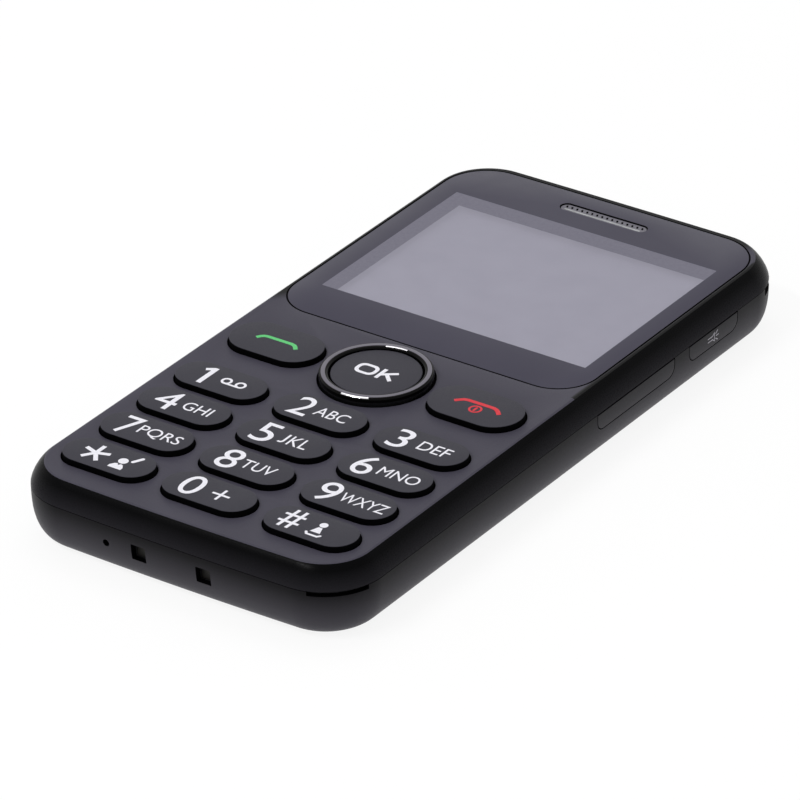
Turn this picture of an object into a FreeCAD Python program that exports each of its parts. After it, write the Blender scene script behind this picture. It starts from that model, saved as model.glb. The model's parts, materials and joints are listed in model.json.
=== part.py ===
import FreeCAD, Part
import math
import os

# Bar mobile phone with large keys, lying on its back. Millimetres.
# +X across the body (right seen from the front), +Y towards the earpiece end,
# +Z out of the front face. Origin: centre of the resting back face.
V = FreeCAD.Vector

# ---- rows of number keys ----------------------------------------------------
KEY_ROWS = 4
KEY_WIDTH = 7.5
KEY_ROW_SPACE = 2.1        # face left between one row and the next
KEY_END_SPACE = 6.65       # body's bottom end to the lowest row's edge

# ---- overall body -----------------------------------------------------------
BODY_WIDTH = 63.2          # widest line, at the parting line
BODY_REST = 90.0           # the body's length above and below the rows of keys
BODY_LENGTH = BODY_REST + KEY_ROWS * KEY_WIDTH + (KEY_ROWS - 1) * KEY_ROW_SPACE
FACE_Z = 12.55             # flat front face above the back
RIM_DROP = 3.7             # front face down to the parting line
RIM_INSET = 2.5            # the face edge lies this far inside the widest line
RIM_CURVE = 1.37           # exponent of the rim's curved side
BACK_INSET = 5.3           # the back's flat edge lies this far inside
BACK_CURVE = 2.81          # exponent of the back's curved side
RIM_STEPS = 4              # ruled bands of the rim's curved side
BACK_STEPS = 5             # of the back's outside
INNER_STEPS = 3            # of the cover's inside and the chassis's outside
TRAY_STEPS = 2             # of the chassis's inside
CORNER_R_TOP = 10.8
CORNER_R_BOTTOM = 10.1
END_BOW_TOP = 0.2
END_BOW_BOTTOM = 0.6

# ---- walls and clearances ---------------------------------------------------
COVER_WALL = 1.0
COVER_GAP = 0.12           # battery cover to chassis, all round
PARTING_GAP = 0.12         # battery cover's edge to the front housing
CHASSIS_WALL = 1.1
JOINT_GAP = 0.1            # chassis wall in the front housing's rebate
REBATE_DEPTH = 0.7
REBATE_STEP = 0.6          # housing's inside wall in from the chassis's
CHASSIS_LAP = 0.6          # chassis wall above the parting line
PLATE_T = 1.2              # key plate of the front housing
SEAT_GAP = 0.05            # between inner pieces that rest on each other
FIT_GAP = 0.3              # around pieces that drop into a bay

# ---- display stack, from the face down --------------------------------------
LENS_WIDTH = 57.5
LENS_LENGTH = 57.4
LENS_TOP_MARGIN = 3.3      # body's top end to the lens's top edge
LENS_R_TOP = 8.0
LENS_R_BOTTOM = 7.0
LENS_T = 0.9
LENS_GAP = 0.12            # lens in its recess
TAPE_T = 0.1
TAPE_INSET = 0.4
LEDGE_T = 0.8
GASKET_T = 0.2
GASKET_WIDTH = 0.6
DISPLAY_DROP = 32.1        # body's top end to the display's centre
DISPLAY_OPEN_X = 54.0      # opening in the ledge under the lens
DISPLAY_OPEN_Y = 43.2
LCD_FRAME_X = 55.8
LCD_FRAME_Y = 44.6
LCD_FRAME_T = 1.7
LCD_FRAME_WALL = 0.5
LCD_FLOOR_T = 0.2
LCD_GLASS_T = 0.8
FLEX_T = 0.12
FLEX_WIDTH = 18.0
CONNECTOR_Y = 2.0
CONNECTOR_T = 0.9

# ---- board and battery ------------------------------------------------------
BOARD_T = 0.8
BOARD_GAP = 0.1            # display module to the board
BOARD_EDGE_GAP = 0.38      # board's edge to the chassis wall
SOLDER_GAP = 0.15          # bay floor to the board
BAY_FLOOR_T = 0.7
BAY_WALL = 0.8
BATTERY_WIDTH = 34.0
BATTERY_LENGTH = 54.0
BATTERY_GAP = 0.15         # battery to the cover's inside
BATTERY_BOTTOM_MARGIN = 9.4    # body's bottom end to the battery

# ---- earpiece ---------------------------------------------------------------
EAR_DROP = 8.1             # body's top end to the slot's centre line
EAR_SLOT_X = 15.9
EAR_SLOT_Y = 2.2
EAR_MESH_GAP = 0.1
EAR_MESH_RECESS = 0.4      # mesh below the lens's surface
EAR_PORT_X = 13.0
EAR_PORT_Y = 1.2
EAR_CAPSULE = (12.0, 3.1, 1.85)

# ---- keys -------------------------------------------------------------------
KEY_PITCH_X = 18.9
KEY_PITCH_Y = KEY_WIDTH + KEY_ROW_SPACE
KEY_BOTTOM_MARGIN = KEY_END_SPACE + KEY_WIDTH / 2      # to the lowest row's centre
KEY_LENGTH = 16.24
KEY_RISE = 0.94            # above the face
KEY_EDGE = 0.14            # bevel round a key's top
CALL_DROP = 72.35          # body's top end to the call and end keys
RING_DROP = 72.1           # and to the navigation ring
CALL_PITCH = 37.8
CALL_LENGTH = 16.5
CALL_WIDTH = 9.6
KEY_GAP = 0.18             # key to its opening
KEY_FLANGE = 0.45
KEY_FLANGE_T = 0.5
KEY_FLANGE_GAP = 0.05      # flange under the plate, at rest
KEY_TRAVEL = 0.4
PLUNGER = 2.8              # square plunger's side
PLUNGER_GAP = 0.5          # plunger in its window in the mat
DOME_R = 2.0
DOME_H = 0.3
DOME_GAP = 0.05            # plunger to dome, at full travel
DOME_SHEET_T = 0.1
MAT_T = 0.4
MAT_TRAVEL_GAP = 0.1       # flange to mat, at full travel
MAT_FOOT = 1.0
MAT_MARGIN = 0.6           # beyond the lowest keys' flanges
MAT_CORNER_LOW = 5.5
MAT_CORNER_TOP = 2.0
RIB_T = 0.7
RIB_DEPTH = 0.9
RIB_GAP = 0.2              # rib to a key's flange

# ---- navigation ring and OK key ---------------------------------------------
RING_R = 9.05
RING_BORE_R = 7.5
RING_RISE = 1.42
RING_GAP = 0.25            # ring to its opening
RING_TRIM_T = 0.8
RING_TRIM_EDGE = 0.5
RING_FLANGE = 0.75
RING_FLANGE_T = 0.4
RING_TILT = 2.2            # degrees each way, for the room it needs
RING_ROCK_GAP = 0.05
RING_PLUNGER = 1.4
RING_PLUNGER_AT = 8.8
RING_DOME_R = 1.2
OK_R = 7.2
OK_RISE = 1.05
OK_BODY_T = 2.78
SPRING_RING_R = 8.6
SPRING_RING_BORE = 6.2
SPRING_RING_T = 0.6
SPRING_RING_GAP = 0.32     # under the navigation ring

# ---- side keys, on the right ------------------------------------------------
ROCKER_DROP = 46.65        # body's top end to the key's centre
ROCKER_LENGTH = 21.8
TORCH_KEY_DROP = 24.3
TORCH_KEY_LENGTH = 14.0
SIDE_KEY_DROP = 0.3        # parting line down to the key's upper edge
SIDE_KEY_HEIGHT = 2.8
SIDE_KEY_R = 1.7
SIDE_KEY_GAP = 0.18
SIDE_FLANGE = 0.5
SIDE_FLANGE_T = 0.6
SIDE_FLANGE_GAP = 0.7      # flange inside the chassis wall at its top
SIDE_NUB = (0.2, 2.4, 1.1)
SIDE_TRAVEL = 0.35
SWITCH = (1.7, 3.6, 1.6)
SWITCH_TIP = 1.1
SWITCH_TIP_L = 0.55
SWITCH_GAP = 0.05          # key's nub to the switch, at full travel
ROCKER_SWITCH_PITCH = 14.0

# ---- openings and ports in the lower body -----------------------------------
PRY_LOW = (0.7, -72.0, -16.0)  # fingernail notch, bottom corner: depth, from, to (degrees)
PRY_TOP = (1.3, 12.0, 52.0)    # fingernail notch, top corner
MIC_X = -12.2
MIC_Z = 5.6
MIC_HOLE_R = 0.5
MIC_R = 1.2
MIC_BOOT = 3.1             # square rubber boot
MIC_BOOT_L = 2.0
WALL_LEAN = 0.8            # room for the end wall's slope behind a port
CONTACT_PITCH = 12.1
CONTACT_Z = 5.65
CONTACT_WINDOW = 2.7
CONTACT_PAD = 2.4
CONTACT_PAD_L = 1.8
JACK_X = 15.0
JACK_BORE_R = 1.8
JACK_BORE_L = 13.7
JACK_BARREL_R = 2.3
JACK_BODY = (6.4, 11.0, 4.6)
JACK_BACK_T = 0.9          # body behind the bore's end
JACK_COVER_R = 2.6
USB_DROP = 39.4
USB_BODY = (5.2, 7.6, 2.8)
USB_MOUTH = (4.5, 6.9, 1.8)
USB_SLOT_GAP = 0.4
CAMERA_DROP = 16.4
CAMERA_BODY = 8.4
CAMERA_BARREL_R = 3.0
CAMERA_BEZEL_R = 4.7
CAMERA_HOLE_R = 3.2
CAMERA_WINDOW_R = 3.95
CAMERA_WINDOW_T = 0.46
CAMERA_RECESS = 0.3        # bezel above the resting plane
TORCH_X = 9.0
TORCH_LENS_R = 1.6
TORCH_FLANGE = 4.6
TORCH_LED = (2.0, 2.0, 0.7)
SPEAKER_X = -14.5
SPEAKER_DROP = 27.4
SPEAKER_BODY = (15.0, 11.0, 3.6)
SPEAKER_SLOTS = 3
SPEAKER_SLOT_L = 11.0
SPEAKER_SLOT_W = 1.1
SPEAKER_SLOT_PITCH = 2.6
SPEAKER_MESH_T = 0.15
MOTOR_X = 15.5
MOTOR_DROP = 30.4
MOTOR_R = 5.0
MOTOR_T = 2.7
CARD_BAY = (38.0, 18.4)
CARD_BAY_GAP = 4.0         # battery bay to the card bay
SIM_HOLDER = (16.0, 16.0, 1.4)
CARD_HOLDER = (15.0, 15.0, 1.4)
CARD_SPLIT = 10.0          # holders' centres either side of the middle
CAN_SIZE = (8.4, 30.0, 1.8)
CAN_MARGIN = 1.2           # shield can to the battery bay
CAN_ROW_MARGIN = 28.0
ANTENNA = (29.0, 5.0, 4.4)
ANTENNA_X = -5.5
ANTENNA_DROP = 7.7
RIB_LOCATOR = (0.48, 3.0, 4.0)
LOCATOR_GAP = 0.12

# ---- screws -----------------------------------------------------------------
SCREW_R = 0.8
SCREW_HEAD_R = 1.6
SCREW_HEAD_T = 0.9
SCREW_L = 6.0              # under the head
SCREW_BITE = 0.15          # pilot radius below the screw's
POST = 4.6                 # square post under each screw's place
BOSS_R = 1.6
HEAD_GAP = 0.15
BOARD_HOLE_R = 1.1
SCREW_TOP_DROP = 7.4
SCREW_TOP_X = 23.5
SCREW_LOW_MARGIN = 4.35
SCREW_LOW_X = 20.5

# ---- levels worked out from the stack ---------------------------------------
HALF_W = BODY_WIDTH / 2
TOP_Y = BODY_LENGTH / 2
LOW_Y = -BODY_LENGTH / 2
PARTING_Z = FACE_Z - RIM_DROP
CEILING_Z = FACE_Z - PLATE_T
LEDGE_TOP_Z = FACE_Z - LENS_T - TAPE_T
LEDGE_LOW_Z = LEDGE_TOP_Z - LEDGE_T
LCD_TOP_Z = LEDGE_LOW_Z - GASKET_T
LCD_LOW_Z = LCD_TOP_Z - LCD_FRAME_T
BOARD_TOP_Z = LCD_LOW_Z - BOARD_GAP
BOARD_LOW_Z = BOARD_TOP_Z - BOARD_T
BAY_TOP_Z = BOARD_LOW_Z - SOLDER_GAP
BAY_LOW_Z = BAY_TOP_Z - BAY_FLOOR_T
CHASSIS_INSET = COVER_WALL + COVER_GAP
CHASSIS_INNER = CHASSIS_INSET + CHASSIS_WALL
CAVITY_INSET = CHASSIS_INNER + REBATE_STEP
DISPLAY_Y = TOP_Y - DISPLAY_DROP
EAR_Y = TOP_Y - EAR_DROP
CALL_Y = TOP_Y - CALL_DROP
RING_Y = TOP_Y - RING_DROP
KEY_LOW_Y = LOW_Y + KEY_BOTTOM_MARGIN
FLANGE_TOP_Z = CEILING_Z - KEY_FLANGE_GAP
FLANGE_LOW_Z = FLANGE_TOP_Z - KEY_FLANGE_T
MAT_TOP_Z = FLANGE_LOW_Z - KEY_TRAVEL - MAT_TRAVEL_GAP
SHEET_TOP_Z = BOARD_TOP_Z + DOME_SHEET_T
PLUNGER_TIP_Z = SHEET_TOP_Z + DOME_H + DOME_GAP + KEY_TRAVEL
RING_OUT_R = RING_R + RING_FLANGE
RING_ROCK = 2 ** 0.5 * RING_OUT_R * math.sin(math.radians(RING_TILT))
RING_FLANGE_TOP_Z = CEILING_Z - RING_ROCK - RING_ROCK_GAP
RING_LOW_Z = RING_FLANGE_TOP_Z - RING_FLANGE_T
BATTERY_LOW_Y = LOW_Y + BATTERY_BOTTOM_MARGIN
BATTERY_TOP_Y = BATTERY_LOW_Y + BATTERY_LENGTH
BATTERY_TOP_Z = BAY_LOW_Z - 2 * SEAT_GAP
BATTERY_T = BATTERY_TOP_Z - COVER_WALL - BATTERY_GAP
CARD_BAY_LOW_Y = BATTERY_TOP_Y + FIT_GAP + CARD_BAY_GAP
SIDE_WALL_X = HALF_W - CHASSIS_INNER
SIDE_FLANGE_X = SIDE_WALL_X - SIDE_FLANGE_GAP
SIDE_KEY_TOP_Z = PARTING_Z - SIDE_KEY_DROP
SIDE_KEY_Z = SIDE_KEY_TOP_Z - SIDE_KEY_HEIGHT / 2
SIDE_TIP_X = SIDE_FLANGE_X - SIDE_FLANGE_T - SIDE_NUB[0] - SIDE_TRAVEL - SWITCH_GAP
SWITCH_Z = BOARD_TOP_Z - SWITCH[2] / 2
JACK_Z = BOARD_LOW_Z - 2 * SEAT_GAP - JACK_BODY[2] / 2
CAMERA_Y = TOP_Y - CAMERA_DROP
SPEAKER_Y = TOP_Y - SPEAKER_DROP
PLATE_TOP_Z = CHASSIS_INNER
SIDE_KEYS = {
    "volume_rocker": (TOP_Y - ROCKER_DROP, ROCKER_LENGTH, ROCKER_SWITCH_PITCH),
    "torch_key": (TOP_Y - TORCH_KEY_DROP, TORCH_KEY_LENGTH, 0.0),
}
SCREWS = [(side * x, y) for side in (-1, 1) for x, y in (
    (SCREW_TOP_X, TOP_Y - SCREW_TOP_DROP),
    (SCREW_LOW_X, LOW_Y + SCREW_LOW_MARGIN))]
KEY_NAMES = (("key_1", "key_2", "key_3"), ("key_4", "key_5", "key_6"),
             ("key_7", "key_8", "key_9"), ("key_star", "key_0", "key_hash"))


# ---- plain solids -----------------------------------------------------------
def box(x0, x1, y0, y1, z0, z1):
    """Box between two corners."""
    return Part.makeBox(x1 - x0, y1 - y0, z1 - z0, V(x0, y0, z0))


def centred_box(cx, cy, size_x, size_y, z0, z1):
    """Box centred on a point in plan."""
    return box(cx - size_x / 2, cx + size_x / 2, cy - size_y / 2, cy + size_y / 2, z0, z1)


def disc(cx, cy, r, z0, z1):
    """Upright cylinder between two levels."""
    return Part.makeCylinder(r, z1 - z0, V(cx, cy, z0))


def tube(cx, cy, r_out, r_in, z0, z1):
    """Upright tube between two levels."""
    return disc(cx, cy, r_out, z0, z1).cut(disc(cx, cy, r_in, z0, z1))


class Plan:
    """Outline with straight sides, bowed or straight ends and round corners."""

    def __init__(self, cx, half_w, y_low, y_high, r_low, r_high, bow_low=0.0, bow_high=0.0):
        self.cx = cx
        self.half_w = half_w
        self.ends = ((-1, y_low, r_low, bow_low), (1, y_high, r_high, bow_high))

    def corner(self, end, inset):
        """Side tangent, arc middle and end tangent of an end's right corner."""
        side, y_end, r, bow = end
        if bow:
            bow_r = self.half_w ** 2 / (2 * bow)
            centre = V(0, y_end - side * bow_r, 0)
            reach = math.sqrt((bow_r - r) ** 2 - (self.half_w - r) ** 2)
            hub = V(self.half_w - r, centre.y + side * reach, 0)
            towards = (hub - centre).normalize()
        else:
            hub = V(self.half_w - r, y_end - side * r, 0)
            towards = V(0, side, 0)
        arc_r = r - inset
        middle = (towards + V(1, 0, 0)).normalize()
        return hub + V(arc_r, 0, 0), hub + middle * arc_r, hub + towards * arc_r

    def wire(self, z, inset=0.0):
        """Closed wire at a level, moved inwards by inset."""
        right = [self.corner(end, inset) for end in self.ends]

        def place(p, side):
            return V(self.cx + side * p.x, p.y, z)

        edges = [Part.makeLine(place(right[0][0], 1), place(right[1][0], 1))]
        for index, side in ((1, 1), (1, -1), (0, -1), (0, 1)):
            points = [place(p, side) for p in right[index]]
            if side != self.ends[index][0]:
                points.reverse()
            arc = Part.Arc(*points).toShape()
            if index == 1 and side == 1:
                edges += [arc, self.end_edge(1, inset, right[1][2], z)]
            elif index == 1:
                edges += [arc, Part.makeLine(place(right[1][0], -1), place(right[0][0], -1))]
            elif side == -1:
                edges += [arc, self.end_edge(0, inset, right[0][2], z)]
            else:
                edges.append(arc)
        return Part.Wire(edges)

    def end_edge(self, index, inset, tangent, z):
        """Edge across one end, bowed or straight."""
        side, y_end, _, bow = self.ends[index]
        first = V(self.cx + side * tangent.x, tangent.y, z)
        last = V(self.cx - side * tangent.x, tangent.y, z)
        if not bow:
            return Part.makeLine(first, last)
        return Part.Arc(first, V(self.cx, y_end - side * inset, z), last).toShape()

    def prism(self, z0, z1, inset=0.0):
        """Upright solid of the outline between two levels."""
        return Part.Face(self.wire(z0, inset)).extrude(V(0, 0, z1 - z0))

    def band(self, z0, z1, outer, inner):
        """Closed wall between two insets of the outline."""
        return self.prism(z0, z1, outer).cut(self.prism(z0, z1, inner))


BODY = Plan(0.0, HALF_W, LOW_Y, TOP_Y, CORNER_R_BOTTOM, CORNER_R_TOP,
            END_BOW_BOTTOM, END_BOW_TOP)
LENS = Plan(0.0, LENS_WIDTH / 2, TOP_Y - LENS_TOP_MARGIN - LENS_LENGTH,
            TOP_Y - LENS_TOP_MARGIN, LENS_R_BOTTOM, LENS_R_TOP, 0.0, END_BOW_TOP)


def rounded(cx, cy, size_x, size_y, r, z0, z1):
    """Upright block with round corners in plan."""
    plan = Plan(cx, size_x / 2, cy - size_y / 2, cy + size_y / 2, r, r)
    return plan.prism(z0, z1)


def capsule(cx, cy, size_x, size_y, z0, z1):
    """Upright stadium, long along X."""
    r = size_y / 2
    half = size_x / 2 - r
    a, b = V(cx - half, cy - r, z0), V(cx + half, cy - r, z0)
    c, d = V(cx + half, cy + r, z0), V(cx - half, cy + r, z0)
    edges = [Part.makeLine(a, b), Part.Arc(b, V(cx + half + r, cy, z0), c).toShape(),
             Part.makeLine(c, d), Part.Arc(d, V(cx - half - r, cy, z0), a).toShape()]
    return Part.Face(Part.Wire(edges)).extrude(V(0, 0, z1 - z0))


def fuse(first, *others):
    """One solid from several that touch or cross."""
    return first.fuse(list(others)).removeSplitter()


def cut(solid, *tools):
    """Solid less each tool."""
    return solid.cut(list(tools))


def eight_sided(cx, cy, r, z0, z1):
    """Upright eight-sided block, r to its corners."""
    turns = [math.pi / 4 * (side + 0.5) for side in range(8)]
    points = [V(cx + r * math.cos(a), cy + r * math.sin(a), z0) for a in turns]
    return Part.Face(Part.makePolygon(points + points[:1])).extrude(V(0, 0, z1 - z0))


def revolve(points, cx, cy):
    """Solid of revolution about the upright line at a point; points are (r, z)."""
    face = Part.Face(Part.makePolygon([V(cx + r, cy, z) for r, z in points + points[:1]]))
    return face.revolve(V(cx, cy, 0), V(0, 0, 1), 360)


# ---- the body's two curved volumes ------------------------------------------
def curve_stations(depth, inset_run, power, steps):
    """Fractions of a superellipse quarter: (height used, inset used)."""
    stations = []
    for step in range(steps + 1):
        angle = math.pi / 2 * step / steps
        height = math.sin(angle) ** (2 / power)
        inset = 1 - math.cos(angle) ** (2 / power) if step < steps else 1.0
        stations.append((depth * height, inset_run * inset))
    return stations


def lower_volume(inset, steps):
    """Space inside the back's curved surface, moved inwards by inset."""
    run = curve_stations(PARTING_Z - inset, BACK_INSET - inset, BACK_CURVE, steps)
    wires = [BODY.wire(PARTING_Z - down, inset + inward) for down, inward in run]
    return Part.makeLoft(wires, True, True)


def upper_volume():
    """Space inside the front rim's curved surface."""
    run = curve_stations(RIM_DROP, RIM_INSET, RIM_CURVE, RIM_STEPS)
    wires = [BODY.wire(PARTING_Z + up, inward) for up, inward in run]
    return Part.makeLoft(wires, True, True)


# ---- places of the keys -----------------------------------------------------
def key_places():
    """Name, centre, length and width of each push key but OK."""
    places = []
    for row, names in enumerate(KEY_NAMES):
        y = KEY_LOW_Y + (KEY_ROWS - 1 - row) * KEY_PITCH_Y
        for column, name in enumerate(names):
            places.append((name, (column - 1) * KEY_PITCH_X, y, KEY_LENGTH, KEY_WIDTH))
    for name, side in (("call_key", -1), ("end_key", 1)):
        places.append((name, side * CALL_PITCH / 2, CALL_Y, CALL_LENGTH, CALL_WIDTH))
    return places


def rocker_points():
    """Plunger places of the navigation ring: east, north, west, south."""
    return [(RING_PLUNGER_AT * math.cos(a), RING_Y + RING_PLUNGER_AT * math.sin(a))
            for a in (math.pi / 2 * quarter for quarter in range(4))]


def side_notch(length, y, gap, x0, x1, z_top):
    """Side key's outline, long along Y, with two round lower corners."""
    half = length / 2 + gap
    low = SIDE_KEY_TOP_Z - SIDE_KEY_HEIGHT - gap
    r = SIDE_KEY_R + gap
    turn = r * (1 - math.sqrt(0.5))
    corners = ((V(x0, y - half, low + r), V(x0, y - half + turn, low + turn),
                V(x0, y - half + r, low)),
               (V(x0, y + half - r, low), V(x0, y + half - turn, low + turn),
                V(x0, y + half, low + r)))
    top = [V(x0, y + half, z_top), V(x0, y - half, z_top)]
    edges = [Part.Arc(*corners[0]).toShape(), Part.makeLine(corners[0][2], corners[1][0]),
             Part.Arc(*corners[1]).toShape(), Part.makeLine(corners[1][2], top[0]),
             Part.makeLine(top[0], top[1]), Part.makeLine(top[1], corners[0][0])]
    return Part.Face(Part.Wire(edges)).extrude(V(x1 - x0, 0, 0))


# ---- front housing ----------------------------------------------------------
def front_housing():
    """Front shell: rim, key plate, display ledge, rebate for the chassis, bosses, ribs."""
    lens_low_y = LENS.ends[0][1]
    shell = upper_volume()
    room = BODY.prism(PARTING_Z, CEILING_Z, CAVITY_INSET)
    ledge_zone = box(-HALF_W, HALF_W, lens_low_y - PLATE_T, TOP_Y, LEDGE_LOW_Z, CEILING_Z)
    shell = cut(shell, cut(room, ledge_zone),
                BODY.prism(PARTING_Z, PARTING_Z + REBATE_DEPTH, CHASSIS_INSET - JOINT_GAP))
    bosses = [disc(x, y, BOSS_R, BOARD_TOP_Z + SEAT_GAP, CEILING_Z + PLATE_T / 4)
              for x, y in SCREWS]
    shell = fuse(shell, *(bosses + key_ribs()))
    shell = cut(shell, LENS.prism(LEDGE_TOP_Z, FACE_Z + 1, -LENS_GAP),
                centred_box(0, DISPLAY_Y, DISPLAY_OPEN_X, DISPLAY_OPEN_Y, LEDGE_LOW_Z - 1, FACE_Z),
                centred_box(0, EAR_Y, EAR_PORT_X, EAR_PORT_Y, LEDGE_LOW_Z - 1, FACE_Z))
    openings = [capsule(x, y, length + 2 * KEY_GAP, width + 2 * KEY_GAP, CEILING_Z - 2,
                        FACE_Z + 1) for _, x, y, length, width in key_places()]
    openings.append(disc(0, RING_Y, RING_R + RING_GAP, CEILING_Z - 2, FACE_Z + 1))
    pilots = [disc(x, y, SCREW_R - SCREW_BITE, BOARD_LOW_Z, screw_tip_z() + SEAT_GAP)
              for x, y in SCREWS]
    return cut(shell, *(openings + pilots))


def key_ribs():
    """Ribs under the key plate, between the rows of keys and clear of their flanges."""
    span = KEY_PITCH_X + KEY_LENGTH / 2
    low = CEILING_Z - RIB_DEPTH
    ribs = [box(-span, span, y - RIB_T / 2, y + RIB_T / 2, low, CEILING_Z)
            for y in (KEY_LOW_Y + (row + 0.5) * KEY_PITCH_Y for row in range(KEY_ROWS - 1))]
    grow = 2 * (KEY_FLANGE + RIB_GAP)
    rooms = [centred_box(x, y, length + grow, width + grow, low, CEILING_Z)
             for _, x, y, length, width in key_places()]
    return [cut(rib, *rooms) for rib in ribs]


# ---- display ----------------------------------------------------------------
def display_lens():
    """Clear front window, flush with the face, with the earpiece slot."""
    return cut(LENS.prism(FACE_Z - LENS_T, FACE_Z),
               capsule(0, EAR_Y, EAR_SLOT_X, EAR_SLOT_Y, FACE_Z - 2 * LENS_T, FACE_Z + 1))


def lens_tape():
    """Adhesive frame between the lens and its ledge."""
    return cut(LENS.prism(LEDGE_TOP_Z, LEDGE_TOP_Z + TAPE_T, TAPE_INSET),
               centred_box(0, DISPLAY_Y, DISPLAY_OPEN_X + TAPE_INSET,
                           DISPLAY_OPEN_Y + TAPE_INSET, LEDGE_LOW_Z, FACE_Z),
               centred_box(0, EAR_Y, EAR_SLOT_X, EAR_SLOT_Y, LEDGE_LOW_Z, FACE_Z))


def lcd_gasket():
    """Foam frame between the display module and the ledge."""
    outer = centred_box(0, DISPLAY_Y, DISPLAY_OPEN_X + 2 * GASKET_WIDTH,
                        DISPLAY_OPEN_Y + 2 * GASKET_WIDTH, LCD_TOP_Z, LEDGE_LOW_Z)
    return cut(outer, centred_box(0, DISPLAY_Y, DISPLAY_OPEN_X, DISPLAY_OPEN_Y,
                                  LCD_TOP_Z, LEDGE_LOW_Z))


def lcd_frame():
    """Open metal tray that holds the display's layers."""
    inside = 2 * LCD_FRAME_WALL
    return cut(centred_box(0, DISPLAY_Y, LCD_FRAME_X, LCD_FRAME_Y, LCD_LOW_Z, LCD_TOP_Z),
               centred_box(0, DISPLAY_Y, LCD_FRAME_X - inside, LCD_FRAME_Y - inside,
                           LCD_LOW_Z + LCD_FLOOR_T, LCD_TOP_Z + 1))


def lcd_layer(z0, z1):
    """One layer inside the display's tray."""
    inside = 2 * (LCD_FRAME_WALL + SEAT_GAP)
    return centred_box(0, DISPLAY_Y, LCD_FRAME_X - inside, LCD_FRAME_Y - inside, z0, z1)


def lcd_connector():
    """Board connector of the display's ribbon."""
    y = lcd_low_y() - 3.0
    return centred_box(0, y - CONNECTOR_Y / 2, FLEX_WIDTH + 2, CONNECTOR_Y, BOARD_TOP_Z,
                       BOARD_TOP_Z + CONNECTOR_T)


def lcd_flex():
    """Ribbon from the display module to its connector."""
    z = BOARD_TOP_Z + CONNECTOR_T / 2
    return box(-FLEX_WIDTH / 2, FLEX_WIDTH / 2, lcd_low_y() - 3.0, lcd_low_y(),
               z, z + FLEX_T)


def lcd_low_y():
    """Lower edge of the display module."""
    return DISPLAY_Y - LCD_FRAME_Y / 2


# ---- earpiece ---------------------------------------------------------------
def earpiece_mesh():
    """Grille strip in the lens's slot, seated on the ledge."""
    top = FACE_Z - EAR_MESH_RECESS
    strip = capsule(0, EAR_Y, EAR_SLOT_X - 2 * EAR_MESH_GAP, EAR_SLOT_Y - 2 * EAR_MESH_GAP,
                    LEDGE_TOP_Z, top)
    return cut(strip, centred_box(0, EAR_Y, EAR_PORT_X, EAR_PORT_Y, LEDGE_TOP_Z - 1, top - 0.2))


def earpiece():
    """Receiver capsule under the ledge, with its sounding recess."""
    length, width, height = EAR_CAPSULE
    top = LEDGE_LOW_Z - SEAT_GAP
    return cut(centred_box(0, EAR_Y, length, width, top - height, top),
               centred_box(0, EAR_Y, length - 2, width - 1.4, top - 0.3, top))


# ---- keys -------------------------------------------------------------------
def bevelled(solid, z, size):
    """Solid with its edges at a level bevelled."""
    edges = [e for e in solid.Edges if abs(e.BoundBox.ZMin - z) + abs(e.BoundBox.ZMax - z) < 1e-6]
    return solid.makeChamfer(size, edges)


def push_key(x, y, length, width):
    """Key cap with its under-plate flange and its plunger."""
    top = FACE_Z + KEY_RISE
    cap = bevelled(capsule(x, y, length, width, FLANGE_TOP_Z, top), top, KEY_EDGE)
    flange = centred_box(x, y, length + 2 * KEY_FLANGE, width + 2 * KEY_FLANGE, FLANGE_LOW_Z,
                         FLANGE_TOP_Z).common(keypad_plan().prism(FLANGE_LOW_Z, FLANGE_TOP_Z))
    plunger = centred_box(x, y, PLUNGER, PLUNGER, PLUNGER_TIP_Z, FLANGE_LOW_Z)
    return fuse(cap, flange, plunger)


def ok_key():
    """Round centre key with its plunger."""
    top = FACE_Z + OK_RISE
    cap = bevelled(disc(0, RING_Y, OK_R, top - OK_BODY_T, top), top, KEY_EDGE)
    return fuse(cap, centred_box(0, RING_Y, PLUNGER, PLUNGER, PLUNGER_TIP_Z, top - OK_BODY_T))


def nav_ring():
    """Rocking ring round the OK key: wall, flange and four plungers."""
    seam = FACE_Z + RING_RISE - RING_TRIM_T
    ring = revolve([(RING_BORE_R, RING_LOW_Z), (RING_OUT_R, RING_LOW_Z),
                    (RING_OUT_R, RING_FLANGE_TOP_Z), (RING_R - 0.04, RING_FLANGE_TOP_Z),
                    (RING_R - 0.04, seam), (RING_BORE_R, seam)], 0, RING_Y)
    return fuse(ring, *[centred_box(x, y, RING_PLUNGER, RING_PLUNGER, PLUNGER_TIP_Z,
                                    RING_LOW_Z) for x, y in rocker_points()])


def nav_ring_trim():
    """Bright bezel on the navigation ring, bevelled inside and out."""
    top = FACE_Z + RING_RISE
    low = top - RING_TRIM_T
    return revolve([(RING_BORE_R, low), (RING_R, low), (RING_R, top - RING_TRIM_EDGE),
                    (RING_R - RING_TRIM_EDGE, top), (RING_BORE_R + RING_TRIM_EDGE, top),
                    (RING_BORE_R, top - RING_TRIM_EDGE)], 0, RING_Y)


def nav_spring_ring():
    """Eight-sided spring plate that the navigation ring rocks on."""
    top = RING_LOW_Z - SPRING_RING_GAP
    low = top - SPRING_RING_T
    return cut(eight_sided(0, RING_Y, SPRING_RING_R, low, top),
               eight_sided(0, RING_Y, SPRING_RING_BORE, low, top))


def keypad_plan():
    """Outline of the keypad's mat and dome sheet."""
    edge = CAVITY_INSET + FIT_GAP
    y_low = KEY_LOW_Y - KEY_WIDTH / 2 - KEY_FLANGE - MAT_MARGIN
    y_high = RING_Y + RING_OUT_R + MAT_FOOT + FIT_GAP
    return Plan(0, HALF_W - edge, y_low, y_high, MAT_CORNER_LOW, MAT_CORNER_TOP)


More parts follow.
